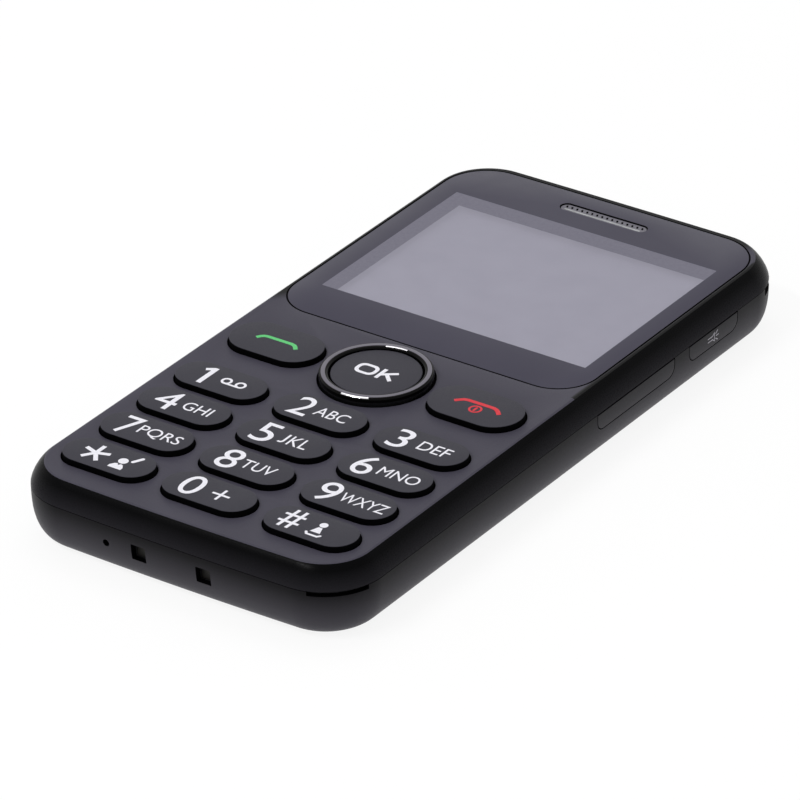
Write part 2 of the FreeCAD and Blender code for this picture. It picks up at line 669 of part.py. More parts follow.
def keypad_mat():
    """Rubber mat on a raised foot, open round every plunger."""
    plan = keypad_plan()
    mat = fuse(plan.prism(MAT_TOP_Z - MAT_T, MAT_TOP_Z),
               plan.band(SHEET_TOP_Z, MAT_TOP_Z, 0.0, MAT_FOOT))
    opening = PLUNGER + 2 * PLUNGER_GAP
    holes = [centred_box(x, y, opening, opening, BOARD_TOP_Z, FACE_Z)
             for _, x, y, _, _ in key_places()]
    nav_hole = disc(0, RING_Y, RING_OUT_R + FIT_GAP, BOARD_TOP_Z, FACE_Z)
    return cut(mat, nav_hole, *(holes + boss_rooms()))


def boss_rooms():
    """Room round each screw boss, for the mat and the dome sheet."""
    return [disc(x, y, BOSS_R + RIB_GAP / 2, BOARD_TOP_Z, CEILING_Z) for x, y in SCREWS]


def dome_sheet():
    """Foil with a snap dome under every plunger."""
    sheet = keypad_plan().prism(BOARD_TOP_Z, SHEET_TOP_Z)
    domes = [(x, y, DOME_R) for _, x, y, _, _ in key_places()] + [(0, RING_Y, DOME_R)]
    domes += [(x, y, RING_DOME_R) for x, y in rocker_points()]
    top = SHEET_TOP_Z + DOME_H
    sheet = cut(sheet, *boss_rooms())
    return fuse(sheet, *[eight_sided(x, y, r, SHEET_TOP_Z, top) for x, y, r in domes])


# ---- side keys --------------------------------------------------------------
def side_key(y, length, switch_pitch):
    """Side key flush with the cover, with its inner flange and nubs."""
    x_out = HALF_W + 1
    body = side_notch(length, y, 0.0, SIDE_FLANGE_X - SIDE_FLANGE_T / 2, x_out, SIDE_KEY_TOP_Z)
    body = body.common(lower_volume(0.0, BACK_STEPS))
    flange = box(SIDE_FLANGE_X - SIDE_FLANGE_T, SIDE_FLANGE_X,
                 y - length / 2 - SIDE_FLANGE, y + length / 2 + SIDE_FLANGE,
                 SIDE_KEY_TOP_Z - SIDE_KEY_HEIGHT, BOARD_TOP_Z)
    inner = SIDE_FLANGE_X - SIDE_FLANGE_T
    depth, width, height = SIDE_NUB
    nubs = [box(inner - depth, inner, at - width / 2, at + width / 2,
                SWITCH_Z - height / 2, SWITCH_Z + height / 2)
            for at in switch_places(y, switch_pitch)]
    return fuse(body, flange, *nubs)


def switch_places(y, pitch):
    """Places along Y of a side key's switches."""
    return (y - pitch / 2, y + pitch / 2) if pitch else (y,)


def side_switches():
    """Tact switches on the board's edge, one behind each nub."""
    depth, width, height = SWITCH
    back = SIDE_TIP_X - SWITCH_TIP_L
    switches = []
    for y, _, pitch in SIDE_KEYS.values():
        for at in switch_places(y, pitch):
            body = box(back - depth, back, at - width / 2, at + width / 2,
                       SWITCH_Z - height / 2, SWITCH_Z + height / 2)
            tip = box(back, back + SWITCH_TIP_L, at - SWITCH_TIP / 2, at + SWITCH_TIP / 2,
                      SWITCH_Z - SWITCH_TIP / 2, SWITCH_Z + SWITCH_TIP / 2)
            switches.append(fuse(body, tip))
    return Part.makeCompound(switches)


# ---- board and what sits on it ----------------------------------------------
def main_board():
    """Circuit board, cut away for the side keys and their switches."""
    board = BODY.prism(BOARD_LOW_Z, BOARD_TOP_Z, CHASSIS_INNER + BOARD_EDGE_GAP)
    cuts = [disc(x, y, BOARD_HOLE_R, BOARD_LOW_Z, BOARD_TOP_Z) for x, y in SCREWS]
    depth, width, _ = SWITCH
    back = SIDE_TIP_X - SWITCH_TIP_L
    for y, length, pitch in SIDE_KEYS.values():
        reach = length / 2 + SIDE_FLANGE + FIT_GAP
        cuts.append(box(SIDE_TIP_X - FIT_GAP, HALF_W, y - reach, y + reach,
                        BOARD_LOW_Z, BOARD_TOP_Z))
        cuts += [box(back - depth - SEAT_GAP, HALF_W, at - width / 2 - SEAT_GAP,
                     at + width / 2 + SEAT_GAP, BOARD_LOW_Z, BOARD_TOP_Z)
                 for at in switch_places(y, pitch)]
    return cut(board, *cuts)


def under_board(cx, cy, size):
    """Block seated on the board's back."""
    top = BOARD_LOW_Z - SEAT_GAP
    return centred_box(cx, cy, size[0], size[1], top - size[2], top)


def card_holder(cx, size, slot):
    """Card holder: a flat cage open at its end for the card."""
    y = CARD_BAY_LOW_Y + CARD_BAY[1] / 2
    top = BOARD_LOW_Z - SEAT_GAP
    cage = under_board(cx, y, size)
    return cut(cage, box(cx - size[0] / 2 + 0.6, cx + size[0] / 2 - 0.6,
                         y - size[1] / 2 + 1.0, y + size[1] / 2 + 1,
                         top - size[2] + 0.3, top - size[2] + 0.3 + slot))


def shield_cans():
    """Two sheet-metal cans on the board's back, beside the battery."""
    reach = BATTERY_WIDTH / 2 + FIT_GAP + BAY_WALL + CAN_MARGIN + CAN_SIZE[0] / 2
    y = LOW_Y + CAN_ROW_MARGIN
    return Part.makeCompound([under_board(side * reach, y, CAN_SIZE) for side in (-1, 1)])


def battery_contacts():
    """Contact block with three spring fingers towards the battery."""
    y0 = BATTERY_TOP_Y + FIT_GAP + BAY_WALL + 0.1
    top = BOARD_LOW_Z - SEAT_GAP
    block = box(-5.5, 5.5, y0, y0 + 2.2, top - 3.4, top)
    fingers = [box(x - 0.6, x + 0.6, BATTERY_TOP_Y + SEAT_GAP, y0 + 0.5, top - 2.9, top - 2.5)
               for x in (-3.0, 0.0, 3.0)]
    return fuse(block, *fingers)


def battery():
    """Removable cell pack."""
    y = (BATTERY_LOW_Y + BATTERY_TOP_Y) / 2
    return centred_box(0, y, BATTERY_WIDTH, BATTERY_LENGTH, BATTERY_TOP_Z - BATTERY_T,
                       BATTERY_TOP_Z)


def loudspeaker():
    """Speaker capsule facing the back: basket and raised sounding rim."""
    length, width, height = SPEAKER_BODY
    low = PLATE_TOP_Z + SPEAKER_MESH_T + SEAT_GAP
    basket = rounded(SPEAKER_X, SPEAKER_Y, length, width, 2.0, low, low + height)
    return cut(basket, centred_box(SPEAKER_X, SPEAKER_Y, length - 2.4, width - 2.4, low,
                                   low + 0.4))


def loudspeaker_mesh():
    """Dust cloth between the speaker and the chassis."""
    return centred_box(SPEAKER_X, SPEAKER_Y, SPEAKER_BODY[0] - 1.6, SPEAKER_BODY[1] - 1.6,
                       PLATE_TOP_Z, PLATE_TOP_Z + SPEAKER_MESH_T)


def speaker_slots(z0, z1):
    """Sound slots through the cover."""
    first = SPEAKER_Y - SPEAKER_SLOT_PITCH * (SPEAKER_SLOTS - 1) / 2
    return [capsule(SPEAKER_X, first + row * SPEAKER_SLOT_PITCH, SPEAKER_SLOT_L,
                    SPEAKER_SLOT_W, z0, z1) for row in range(SPEAKER_SLOTS)]


def vibration_motor():
    """Coin motor on the board's back."""
    top = BOARD_LOW_Z - SEAT_GAP
    y = TOP_Y - MOTOR_DROP
    return disc(MOTOR_X, y, MOTOR_R, top - MOTOR_T, top)


def antenna():
    """Antenna carrier along the top end, with a raised rib."""
    y = TOP_Y - ANTENNA_DROP
    body = under_board(ANTENNA_X, y, ANTENNA)
    low = BOARD_LOW_Z - SEAT_GAP - ANTENNA[2]
    groove = box(ANTENNA_X - ANTENNA[0] / 2 + 2, ANTENNA_X + ANTENNA[0] / 2 - 2,
                 y - 0.6, y + 0.6, low - 1, low + 0.5)
    return cut(body, groove)


# ---- camera and torch -------------------------------------------------------
def camera_module():
    """Camera block under the board with its lens barrel."""
    top = BOARD_LOW_Z - SEAT_GAP
    block = centred_box(0, CAMERA_Y, CAMERA_BODY, CAMERA_BODY, PLATE_TOP_Z + SEAT_GAP, top)
    low = CAMERA_RECESS + CAMERA_WINDOW_T + 2 * SEAT_GAP + 0.1
    barrel = tube(0, CAMERA_Y, CAMERA_BARREL_R, 1.3, low, PLATE_TOP_Z + SEAT_GAP)
    return fuse(block, barrel)


def camera_window():
    """Clear disc in the camera bezel."""
    return disc(0, CAMERA_Y, CAMERA_WINDOW_R, CAMERA_RECESS + SEAT_GAP,
                CAMERA_RECESS + CAMERA_WINDOW_T)


def torch_lens():
    """Light guide from the lamp to the back, with a seating flange."""
    low = COVER_WALL / 2
    top = BOARD_LOW_Z - SEAT_GAP - TORCH_LED[2] - SEAT_GAP
    guide = disc(TORCH_X, CAMERA_Y, TORCH_LENS_R, low, top)
    return fuse(guide, centred_box(TORCH_X, CAMERA_Y, TORCH_FLANGE, TORCH_FLANGE,
                                   PLATE_TOP_Z + SEAT_GAP, PLATE_TOP_Z + 0.7))


# ---- ports ------------------------------------------------------------------
def microphone():
    """Microphone capsule, axis along the body."""
    y = LOW_Y + CHASSIS_INNER + WALL_LEAN
    return Part.makeCylinder(MIC_R, MIC_BOOT_L - 0.6, V(MIC_X, y + 0.5, MIC_Z), V(0, 1, 0))


def microphone_boot():
    """Rubber cup that seals the microphone to the end wall."""
    y = LOW_Y + CHASSIS_INNER + WALL_LEAN
    half = MIC_BOOT / 2
    cup = box(MIC_X - half, MIC_X + half, y, y + MIC_BOOT_L, MIC_Z - half,
              BOARD_LOW_Z - SEAT_GAP)
    room = Part.makeCylinder(MIC_R, MIC_BOOT_L, V(MIC_X, y + 0.5, MIC_Z), V(0, 1, 0))
    return cut(cup, room, along_y(MIC_X, MIC_Z, MIC_HOLE_R, y - 1, y + 1))


def along_y(x, z, r, y0, y1):
    """Cylinder along Y between two places."""
    return Part.makeCylinder(r, y1 - y0, V(x, y0, z), V(0, 1, 0))


def contact_block(side, size, y0, y1, z=CONTACT_Z):
    """Square bar along Y at a charging contact."""
    x = side * CONTACT_PITCH / 2
    return box(x - size / 2, x + size / 2, y0, y1, z - size / 2, z + size / 2)


def charge_contacts():
    """Two plated pads behind the windows in the bottom end."""
    y = LOW_Y + CHASSIS_INSET + 0.35
    pads = []
    for side in (-1, 1):
        pad = contact_block(side, CONTACT_PAD, y, y + CONTACT_PAD_L)
        relief = contact_block(side, CONTACT_PAD - 0.8, y + 0.5, y + CONTACT_PAD_L + 1)
        pads.append(cut(pad, relief))
    return Part.makeCompound(pads)


def jack_mouth_y():
    """Front of the headphone socket, just inside the cover."""
    return TOP_Y - CHASSIS_INSET - 0.25


def jack_body_y():
    """End of the headphone socket's body, behind its barrel."""
    return jack_mouth_y() - (JACK_BORE_L - JACK_BODY[1]) - JACK_BACK_T


def jack_block(grow):
    """Body of the headphone socket, grown by a gap."""
    width, length, height = JACK_BODY
    y = jack_body_y()
    return box(JACK_X - width / 2 - grow, JACK_X + width / 2 + grow, y - length - grow, y + grow,
               JACK_Z - height / 2 - grow, JACK_Z + height / 2 + grow)


def headphone_socket():
    """Socket body and barrel with a 3.5 mm plug's bore, open at the top end."""
    mouth = jack_mouth_y()
    barrel = along_y(JACK_X, JACK_Z, JACK_BARREL_R, jack_body_y(), mouth)
    bore = along_y(JACK_X, JACK_Z, JACK_BORE_R, mouth - JACK_BORE_L, mouth)
    return cut(fuse(jack_block(0.0), barrel), bore)


def usb_socket():
    """Micro connector in the left side, with its mouth."""
    depth, width, height = USB_BODY
    x = -HALF_W + CHASSIS_INSET + 0.3
    y = TOP_Y - USB_DROP
    top = BOARD_LOW_Z - SEAT_GAP
    mid = top - height / 2
    mouth_depth, mouth_w, mouth_h = USB_MOUTH
    tongue_half = mouth_w / 2 - 1.2
    shell = cut(box(x, x + depth, y - width / 2, y + width / 2, top - height, top),
                box(x - 1, x + mouth_depth, y - mouth_w / 2, y + mouth_w / 2,
                    mid - mouth_h / 2, mid + mouth_h / 2))
    return fuse(shell, box(x + 0.6, x + mouth_depth + 0.3, y - tongue_half, y + tongue_half,
                           mid + 0.05, mid + 0.55))


def usb_way(gap, x0, x1):
    """Square-cornered way for the connector through the chassis."""
    _, width, height = USB_BODY
    y = TOP_Y - USB_DROP
    top = BOARD_LOW_Z - SEAT_GAP
    return box(x0, x1, y - width / 2 - gap, y + width / 2 + gap, top - height - gap, top + gap)


def usb_slot(gap, x0, x1):
    """Round-ended slot for the connector through the cover."""
    _, width, height = USB_BODY
    y = TOP_Y - USB_DROP
    mid = BOARD_LOW_Z - SEAT_GAP - height / 2
    slot = capsule(0, 0, width + 2 * gap, height + 2 * gap, 0, x1 - x0)
    slot.rotate(V(0, 0, 0), V(0, 0, 1), 90)
    slot.rotate(V(0, 0, 0), V(0, 1, 0), 90)
    slot.translate(V(x0, y, mid))
    return slot


# ---- chassis ----------------------------------------------------------------
def rear_chassis():
    """Inner tray: walls, battery bay, card bay, screw columns and port openings."""
    outside = lower_volume(CHASSIS_INSET, INNER_STEPS)
    bowl = cut(outside, lower_volume(CHASSIS_INNER, TRAY_STEPS))
    lap = BODY.band(PARTING_Z, PARTING_Z + CHASSIS_LAP, CHASSIS_INSET, CHASSIS_INNER)
    bay_outer = bay_box(BAY_WALL, CHASSIS_INSET, BAY_TOP_Z)
    card_outer = card_bay_box(BAY_WALL, CHASSIS_INSET, BAY_TOP_Z)
    posts = [screw_post(x, y).common(outside) for x, y in SCREWS]
    bezel = disc(0, CAMERA_Y, CAMERA_BEZEL_R, CAMERA_RECESS, PLATE_TOP_Z)
    pen = cut(centred_box(SPEAKER_X, SPEAKER_Y, SPEAKER_BODY[0] + 2.2, SPEAKER_BODY[1] + 2.2,
                          CHASSIS_INSET, PLATE_TOP_Z + SPEAKER_BODY[2] / 2),
              centred_box(SPEAKER_X, SPEAKER_Y, SPEAKER_BODY[0] + 0.6, SPEAKER_BODY[1] + 0.6,
                          PLATE_TOP_Z, BOARD_LOW_Z))
    body = fuse(bowl, lap, bay_outer, card_outer, bezel, pen, *posts)
    return cut(body, *(chassis_bays() + chassis_ports() + chassis_side_openings()))


def screw_post(x, y):
    """Post under a screw's place, run out into the end wall."""
    y_in, y_out = sorted((y - math.copysign(POST / 2, y), math.copysign(TOP_Y, y)))
    return box(x - POST / 2, x + POST / 2, y_in, y_out, CHASSIS_INSET, BOARD_LOW_Z - SEAT_GAP)


def bay_box(margin, z0, z1):
    """Battery bay grown by a margin."""
    grow = FIT_GAP + margin
    return box(-BATTERY_WIDTH / 2 - grow, BATTERY_WIDTH / 2 + grow, BATTERY_LOW_Y - grow,
               BATTERY_TOP_Y + grow, z0, z1)


def card_bay_box(margin, z0, z1):
    """Card bay grown by a margin."""
    return box(-CARD_BAY[0] / 2 - margin, CARD_BAY[0] / 2 + margin, CARD_BAY_LOW_Y - margin,
               CARD_BAY_LOW_Y + CARD_BAY[1] + margin, z0, z1)


def chassis_bays():
    """Hollows of the bays, and the room round the battery's contacts."""
    contact_room = box(-5.9, 5.9, BATTERY_TOP_Y, BATTERY_TOP_Y + FIT_GAP + BAY_WALL + 0.05,
                       BOARD_LOW_Z - 3.6, BAY_LOW_Z)
    finger_pull = box(-7, 7, BATTERY_LOW_Y - FIT_GAP - BAY_WALL - 0.1,
                      BATTERY_LOW_Y, CHASSIS_INSET - 1, CHASSIS_INSET + 2.2)
    return [bay_box(0.0, -1, BAY_LOW_Z), card_bay_box(0.0, -1, BOARD_LOW_Z), contact_room,
            finger_pull]


def chassis_ports():
    """Screw ways, camera, torch and speaker openings and the end ports."""
    head_z = screw_head_z()
    cuts = []
    for x, y in SCREWS:
        cuts += [disc(x, y, SCREW_R + HEAD_GAP, CHASSIS_INSET - 1, BOARD_LOW_Z),
                 disc(x, y, SCREW_HEAD_R + HEAD_GAP, CHASSIS_INSET - 1, head_z)]
    cuts += [disc(0, CAMERA_Y, CAMERA_HOLE_R, 0, PLATE_TOP_Z),
             disc(0, CAMERA_Y, CAMERA_WINDOW_R + SEAT_GAP, 0, CAMERA_RECESS + CAMERA_WINDOW_T),
             disc(TORCH_X, CAMERA_Y, TORCH_LENS_R + 0.1, 0, PLATE_TOP_Z)]
    cuts.append(centred_box(SPEAKER_X, SPEAKER_Y, SPEAKER_SLOT_L, SPEAKER_BODY[1] - 3.0,
                            0, PLATE_TOP_Z))
    cuts += [along_y(MIC_X, MIC_Z, MIC_HOLE_R, LOW_Y, LOW_Y + 4),
             along_y(JACK_X, JACK_Z, JACK_BARREL_R + 0.1, TOP_Y - 5, TOP_Y)]
    cuts += [contact_block(side, CONTACT_PAD + 0.2, LOW_Y, LOW_Y + CHASSIS_INNER + 0.6)
             for side in (-1, 1)]
    cuts.append(jack_block(SEAT_GAP))
    return cuts


def chassis_side_openings():
    """Side-key ways, connector slot and the cover's locator grooves."""
    cuts = [side_notch(length, y, SIDE_KEY_GAP, SIDE_WALL_X - 1, HALF_W + 1,
                       PARTING_Z + CHASSIS_LAP + 1) for y, length, _ in SIDE_KEYS.values()]
    cuts.append(usb_way(JOINT_GAP, -HALF_W - 1, -SIDE_WALL_X + 1))
    depth, width, _ = RIB_LOCATOR
    for side, y in locator_places():
        x = side * (HALF_W - COVER_WALL - depth / 2 + 1 - LOCATOR_GAP / 2)
        cuts.append(centred_box(x, y, depth + LOCATOR_GAP + 2, width + 2 * LOCATOR_GAP,
                                0, locator_top_z() + LOCATOR_GAP))
    return cuts


def locator_places():
    """Side and Y of each locating rib inside the cover."""
    low = LOW_Y + 18.4
    return [(-1, low), (1, low), (-1, low + 25.0), (1, low + 25.0), (-1, TOP_Y - 19.4)]


def locator_top_z():
    """Top of the cover's locating ribs."""
    return PARTING_Z - 0.9


# ---- battery cover ----------------------------------------------------------
def battery_cover():
    """Wrap-round back cover with its key notches, ports and locating ribs."""
    edge_z = PARTING_Z - PARTING_GAP
    inside = lower_volume(COVER_WALL, INNER_STEPS)
    shell = cut(lower_volume(0.0, BACK_STEPS), inside,
                BODY.prism(edge_z, PARTING_Z + 1, -1.0))
    depth, width, height = RIB_LOCATOR
    ribs = []
    for side, y in locator_places():
        x = side * (HALF_W - COVER_WALL - depth / 2 + 0.3)
        rib = centred_box(x, y, depth + 0.6, width, locator_top_z() - height, locator_top_z())
        ribs.append(rib.common(lower_volume(COVER_WALL / 2, INNER_STEPS)))
    shell = fuse(shell, *ribs)
    return cut(shell, *(cover_notches(edge_z) + cover_ports()))


def cover_notches(edge_z):
    """Side-key notches and fingernail notches in the cover's edge."""
    x_in = HALF_W - CHASSIS_INSET
    cuts = [side_notch(length, y, SIDE_KEY_GAP, x_in - 1, HALF_W + 1, PARTING_Z + 1)
            for y, length, _ in SIDE_KEYS.values()]
    return cuts + [corner_notch(end, edge_z, *notch)
                   for end, notch in zip(BODY.ends, (PRY_LOW, PRY_TOP))]


def corner_notch(end, edge_z, depth, first, last):
    """Notch down from the edge at a right-hand corner, between two angles round its hub."""
    r = end[2]
    hub = BODY.corner(end, r)[0]
    hub.z = edge_z - depth
    height = depth + 1
    sector = Part.makeCylinder(r + 1, height, hub, V(0, 0, 1), last - first)
    sector = sector.cut(Part.makeCylinder(r - COVER_WALL - 0.6, height, hub))
    sector.rotate(hub, V(0, 0, 1), first)
    return sector


def cover_ports():
    """Openings in the cover for the ports, camera, torch and speaker."""
    cuts = [along_y(MIC_X, MIC_Z, MIC_HOLE_R, LOW_Y - 1, LOW_Y + 3),
            along_y(JACK_X, JACK_Z, JACK_COVER_R, TOP_Y - 3, TOP_Y + 1),
            usb_slot(USB_SLOT_GAP, -HALF_W - 1, -HALF_W + CHASSIS_INNER),
            disc(0, CAMERA_Y, CAMERA_BEZEL_R + 0.25, -1, COVER_WALL + 1),
            disc(TORCH_X, CAMERA_Y, TORCH_LENS_R + 0.3, -1, COVER_WALL + 1)]
    cuts += [contact_block(side, CONTACT_WINDOW, LOW_Y - 1, LOW_Y + 3) for side in (-1, 1)]
    return cuts + speaker_slots(-1, COVER_WALL + 1)


# ---- screws -----------------------------------------------------------------
def screw_head_z():
    """Under-head level of the housing screws."""
    return screw_tip_z() - SCREW_L


def screw_tip_z():
    """Tip level of the housing screws, inside the bosses."""
    return LEDGE_LOW_Z - FIT_GAP


def housing_screws():
    """Screws from the chassis into the front housing's bosses."""
    z = screw_head_z()
    screws = []
    for x, y in SCREWS:
        head = disc(x, y, SCREW_HEAD_R, z - SCREW_HEAD_T, z)
        screws.append(fuse(head, disc(x, y, SCREW_R - SCREW_BITE, z, screw_tip_z())))
    return Part.makeCompound(screws)


# ---- assembly ---------------------------------------------------------------
def build():
    """Every node's shape by name."""
    glass_low = LCD_TOP_Z - LCD_GLASS_T
    nodes = {
        "front_housing": front_housing(),
        "display_lens": display_lens(),
        "lens_tape": lens_tape(),
        "earpiece_mesh": earpiece_mesh(),
        "earpiece": earpiece(),
        "lcd_gasket": lcd_gasket(),
        "lcd_panel": lcd_layer(glass_low, LCD_TOP_Z),
        "lcd_backlight": lcd_layer(LCD_LOW_Z + LCD_FLOOR_T + SEAT_GAP, glass_low - SEAT_GAP),
        "lcd_frame": lcd_frame(),
        "lcd_flex": lcd_flex(),
        "lcd_connector": lcd_connector(),
        "keypad_mat": keypad_mat(),
        "dome_sheet": dome_sheet(),
        "main_board": main_board(),
        "shield_cans": shield_cans(),
        "sim_holder": card_holder(-CARD_SPLIT, SIM_HOLDER, 0.8),
        "memory_card_holder": card_holder(CARD_SPLIT, CARD_HOLDER, 0.7),
        "battery_contacts": battery_contacts(),
        "battery": battery(),
        "rear_chassis": rear_chassis(),
        "camera_module": camera_module(),
        "camera_window": camera_window(),
        "torch_lamp": under_board(TORCH_X, CAMERA_Y, TORCH_LED),
        "torch_lens": torch_lens(),
        "loudspeaker": loudspeaker(),
        "loudspeaker_mesh": loudspeaker_mesh(),
        "vibration_motor": vibration_motor(),
        "antenna": antenna(),
        "microphone": microphone(),
        "microphone_boot": microphone_boot(),
        "charge_contacts": charge_contacts(),
        "usb_socket": usb_socket(),
        "headphone_socket": headphone_socket(),
        "side_switches": side_switches(),
        "housing_screws": housing_screws(),
        "ok_key": ok_key(),
        "nav_ring": nav_ring(),
        "nav_ring_trim": nav_ring_trim(),
        "nav_spring_ring": nav_spring_ring(),
        "battery_cover": battery_cover(),
    }
    for name, x, y, length, width in key_places():
        nodes[name] = push_key(x, y, length, width)
    for name, (y, length, pitch) in SIDE_KEYS.items():
        nodes[name] = side_key(y, length, pitch)
    return nodes


def write(nodes):
    """One STEP file per node."""
    os.makedirs("parts", exist_ok=True)
    for name, shape in nodes.items():
        shape.exportStep(os.path.join("parts", name + ".step"))


if __name__ == "__main__":
    write(build())
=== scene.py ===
"""Looks of a bar mobile phone with large keys, lying on its back.

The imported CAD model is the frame. The outer shells, keys, ring, window and display are rebuilt
here as finer meshes, and every other CAD node gets the finish of its real material.
Sizes in the classes are in millimetres; meshes are written in metres.
"""

import sys

import json
import logging
import math
from dataclasses import dataclass, field
from enum import Enum
from typing import Callable, Iterable, Optional, Protocol, Sequence

import bmesh
import bpy
from mathutils import Matrix, Vector
from mathutils.geometry import delaunay_2d_cdt


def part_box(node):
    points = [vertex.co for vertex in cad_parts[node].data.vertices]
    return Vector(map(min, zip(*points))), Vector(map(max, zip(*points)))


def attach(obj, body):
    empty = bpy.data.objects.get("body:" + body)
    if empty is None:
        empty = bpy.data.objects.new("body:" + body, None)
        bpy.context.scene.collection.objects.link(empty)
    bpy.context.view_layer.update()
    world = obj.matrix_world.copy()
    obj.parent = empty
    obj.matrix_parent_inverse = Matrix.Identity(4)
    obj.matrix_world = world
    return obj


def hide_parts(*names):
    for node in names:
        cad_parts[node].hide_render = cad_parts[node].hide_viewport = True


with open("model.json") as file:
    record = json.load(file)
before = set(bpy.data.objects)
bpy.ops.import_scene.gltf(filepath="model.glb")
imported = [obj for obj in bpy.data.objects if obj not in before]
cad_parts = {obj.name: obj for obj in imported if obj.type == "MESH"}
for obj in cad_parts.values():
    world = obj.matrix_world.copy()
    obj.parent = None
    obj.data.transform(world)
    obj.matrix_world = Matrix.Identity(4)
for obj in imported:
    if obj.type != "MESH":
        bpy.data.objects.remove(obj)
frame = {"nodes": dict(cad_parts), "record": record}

MM = 0.001
LOG = logging.getLogger("phone")
Point = tuple[float, float]
Box = tuple[float, float, float, float]


# ---- outlines in plan ----
class Outline(Protocol):
    """Closed shape in plan that can be drawn smaller or larger."""

    def points(self, inset: float = 0.0) -> list[Point]:
        """Samples the shape.

        Args:
            inset: Distance that the outline moves inwards, in mm.

        Returns:
            The points in order, counter-clockwise.
        """


def arc(cx: float, cy: float, r: float, first: float, last: float, steps: int) -> list[Point]:
    """Points of a circular arc.

    Args:
        cx, cy: Centre.
        r: Radius.
        first, last: Start and end angles in radians.
        steps: Number of chords.

    Returns:
        steps + 1 points, both ends included.
    """
    turns = [first + (last - first) * i / steps for i in range(steps + 1)]
    return [(cx + r * math.cos(a), cy + r * math.sin(a)) for a in turns]


def quarter_round(r: float, steps: int) -> list[Point]:
    """Way over a rounded edge, from its upright side to its flat.

    Args:
        r: Radius of the edge.
        steps: Number of chords.

    Returns:
        Pairs of inset and drop below the flat, the upright start left out.
    """
    turns = [math.radians(90.0 * step / steps) for step in range(1, steps + 1)]
    return [(r * (1 - math.cos(a)), r * (1 - math.sin(a))) for a in turns]


@dataclass(frozen=True)
class RoundPlan:
    """Outline with straight sides, bowed or straight ends and round corners."""

    half_w: float
    y_low: float
    y_high: float
    r_low: float
    r_high: float
    bow_low: float = 0.0
    bow_high: float = 0.0
    steps: int = 14

    def hub(self, high: bool) -> tuple[Point, float, Optional[float]]:
        """Right corner's arc centre and the angle where the end begins.

        Args:
            high: True for the end with the larger Y.

        Returns:
            The hub, the angle of the end's tangent point, and the bow's centre Y or None.
        """
        side = 1 if high else -1
        y_end, r, bow = ((self.y_high, self.r_high, self.bow_high) if high
                         else (self.y_low, self.r_low, self.bow_low))
        x = self.half_w - r
        if not bow:
            return (x, y_end - side * r), side * math.pi / 2, None
        bow_r = self.half_w ** 2 / (2 * bow)
        centre = y_end - side * bow_r
        y = centre + side * math.sqrt((bow_r - r) ** 2 - x ** 2)
        return (x, y), math.atan2(y - centre, x), centre

    def points(self, inset: float = 0.0) -> list[Point]:
        """Closed outline, counter-clockwise, moved inwards.

        Args:
            inset: Distance inside the plan.

        Returns:
            The points, the same number at every inset.
        """
        (x0, y0), low_turn, low_centre = self.hub(False)
        (_, y1), high_turn, high_centre = self.hub(True)
        right: list[Point] = [(0.0, self.y_low + inset)]
        if low_centre is not None:
            r = low_centre - self.y_low - inset
            right += arc(0.0, low_centre, r, -math.pi / 2, low_turn, self.steps)[1:-1]
        right += arc(x0, y0, self.r_low - inset, low_turn, 0.0, self.steps)
        right += arc(self.half_w - self.r_high, y1, self.r_high - inset, 0.0, high_turn, self.steps)
        if high_centre is not None:
            r = self.y_high - inset - high_centre
            right += arc(0.0, high_centre, r, high_turn, math.pi / 2, self.steps)[1:-1]
        right.append((0.0, self.y_high - inset))
        return right + [(-x, y) for x, y in reversed(right[1:-1])]

    def locate(self, x: float, y: float) -> tuple[float, Vector]:
        """Where a point lies between the outline and the middle.

        Args:
            x, y: The point.

        Returns:
            Its distance inside the outline, and the outward direction there.
        """
        side = math.copysign(1.0, x)
        for high in (True, False):
            (hx, hy), turn, centre = self.hub(high)
            end = 1 if high else -1
            if (y - hy) * end <= 0:
                continue
            r = self.r_high if high else self.r_low
            angle = math.atan2(y - hy, abs(x) - hx)
            if abs(x) > hx and abs(angle) <= abs(turn):
                away = Vector((abs(x) - hx, y - hy))
                return r - away.length, Vector((side * away.x, away.y)).normalized()
            if centre is None:
                return (self.y_high - y) if high else (y - self.y_low), Vector((0.0, end))
            away = Vector((x, y - centre))
            return self.half_w ** 2 / 2 / (self.bow_high if high else self.bow_low) - away.length, \
                away.normalized()
        return self.half_w - abs(x), Vector((side, 0.0))


@dataclass(frozen=True)
class Stadium:
    """Outline with two half-round ends, long along X."""

    cx: float
    cy: float
    length: float
    width: float
    steps: int = 20

    def points(self, inset: float = 0.0) -> list[Point]:
        """Closed outline, counter-clockwise, moved inwards.

        Args:
            inset: Distance inside the outline.

        Returns:
            The points.
        """
        r = self.width / 2 - inset
        reach = (self.length - self.width) / 2
        right = arc(self.cx + reach, self.cy, r, -math.pi / 2, math.pi / 2, self.steps)
        return right + arc(self.cx - reach, self.cy, r, math.pi / 2, math.pi * 1.5, self.steps)


@dataclass(frozen=True)
class Circle:
    """Round outline."""

    cx: float
    cy: float
    r: float
    steps: int = 48

    def points(self, inset: float = 0.0) -> list[Point]:
        """Closed outline, counter-clockwise, moved inwards by inset."""
        return arc(self.cx, self.cy, self.r - inset, 0.0, math.tau, self.steps)[:-1]


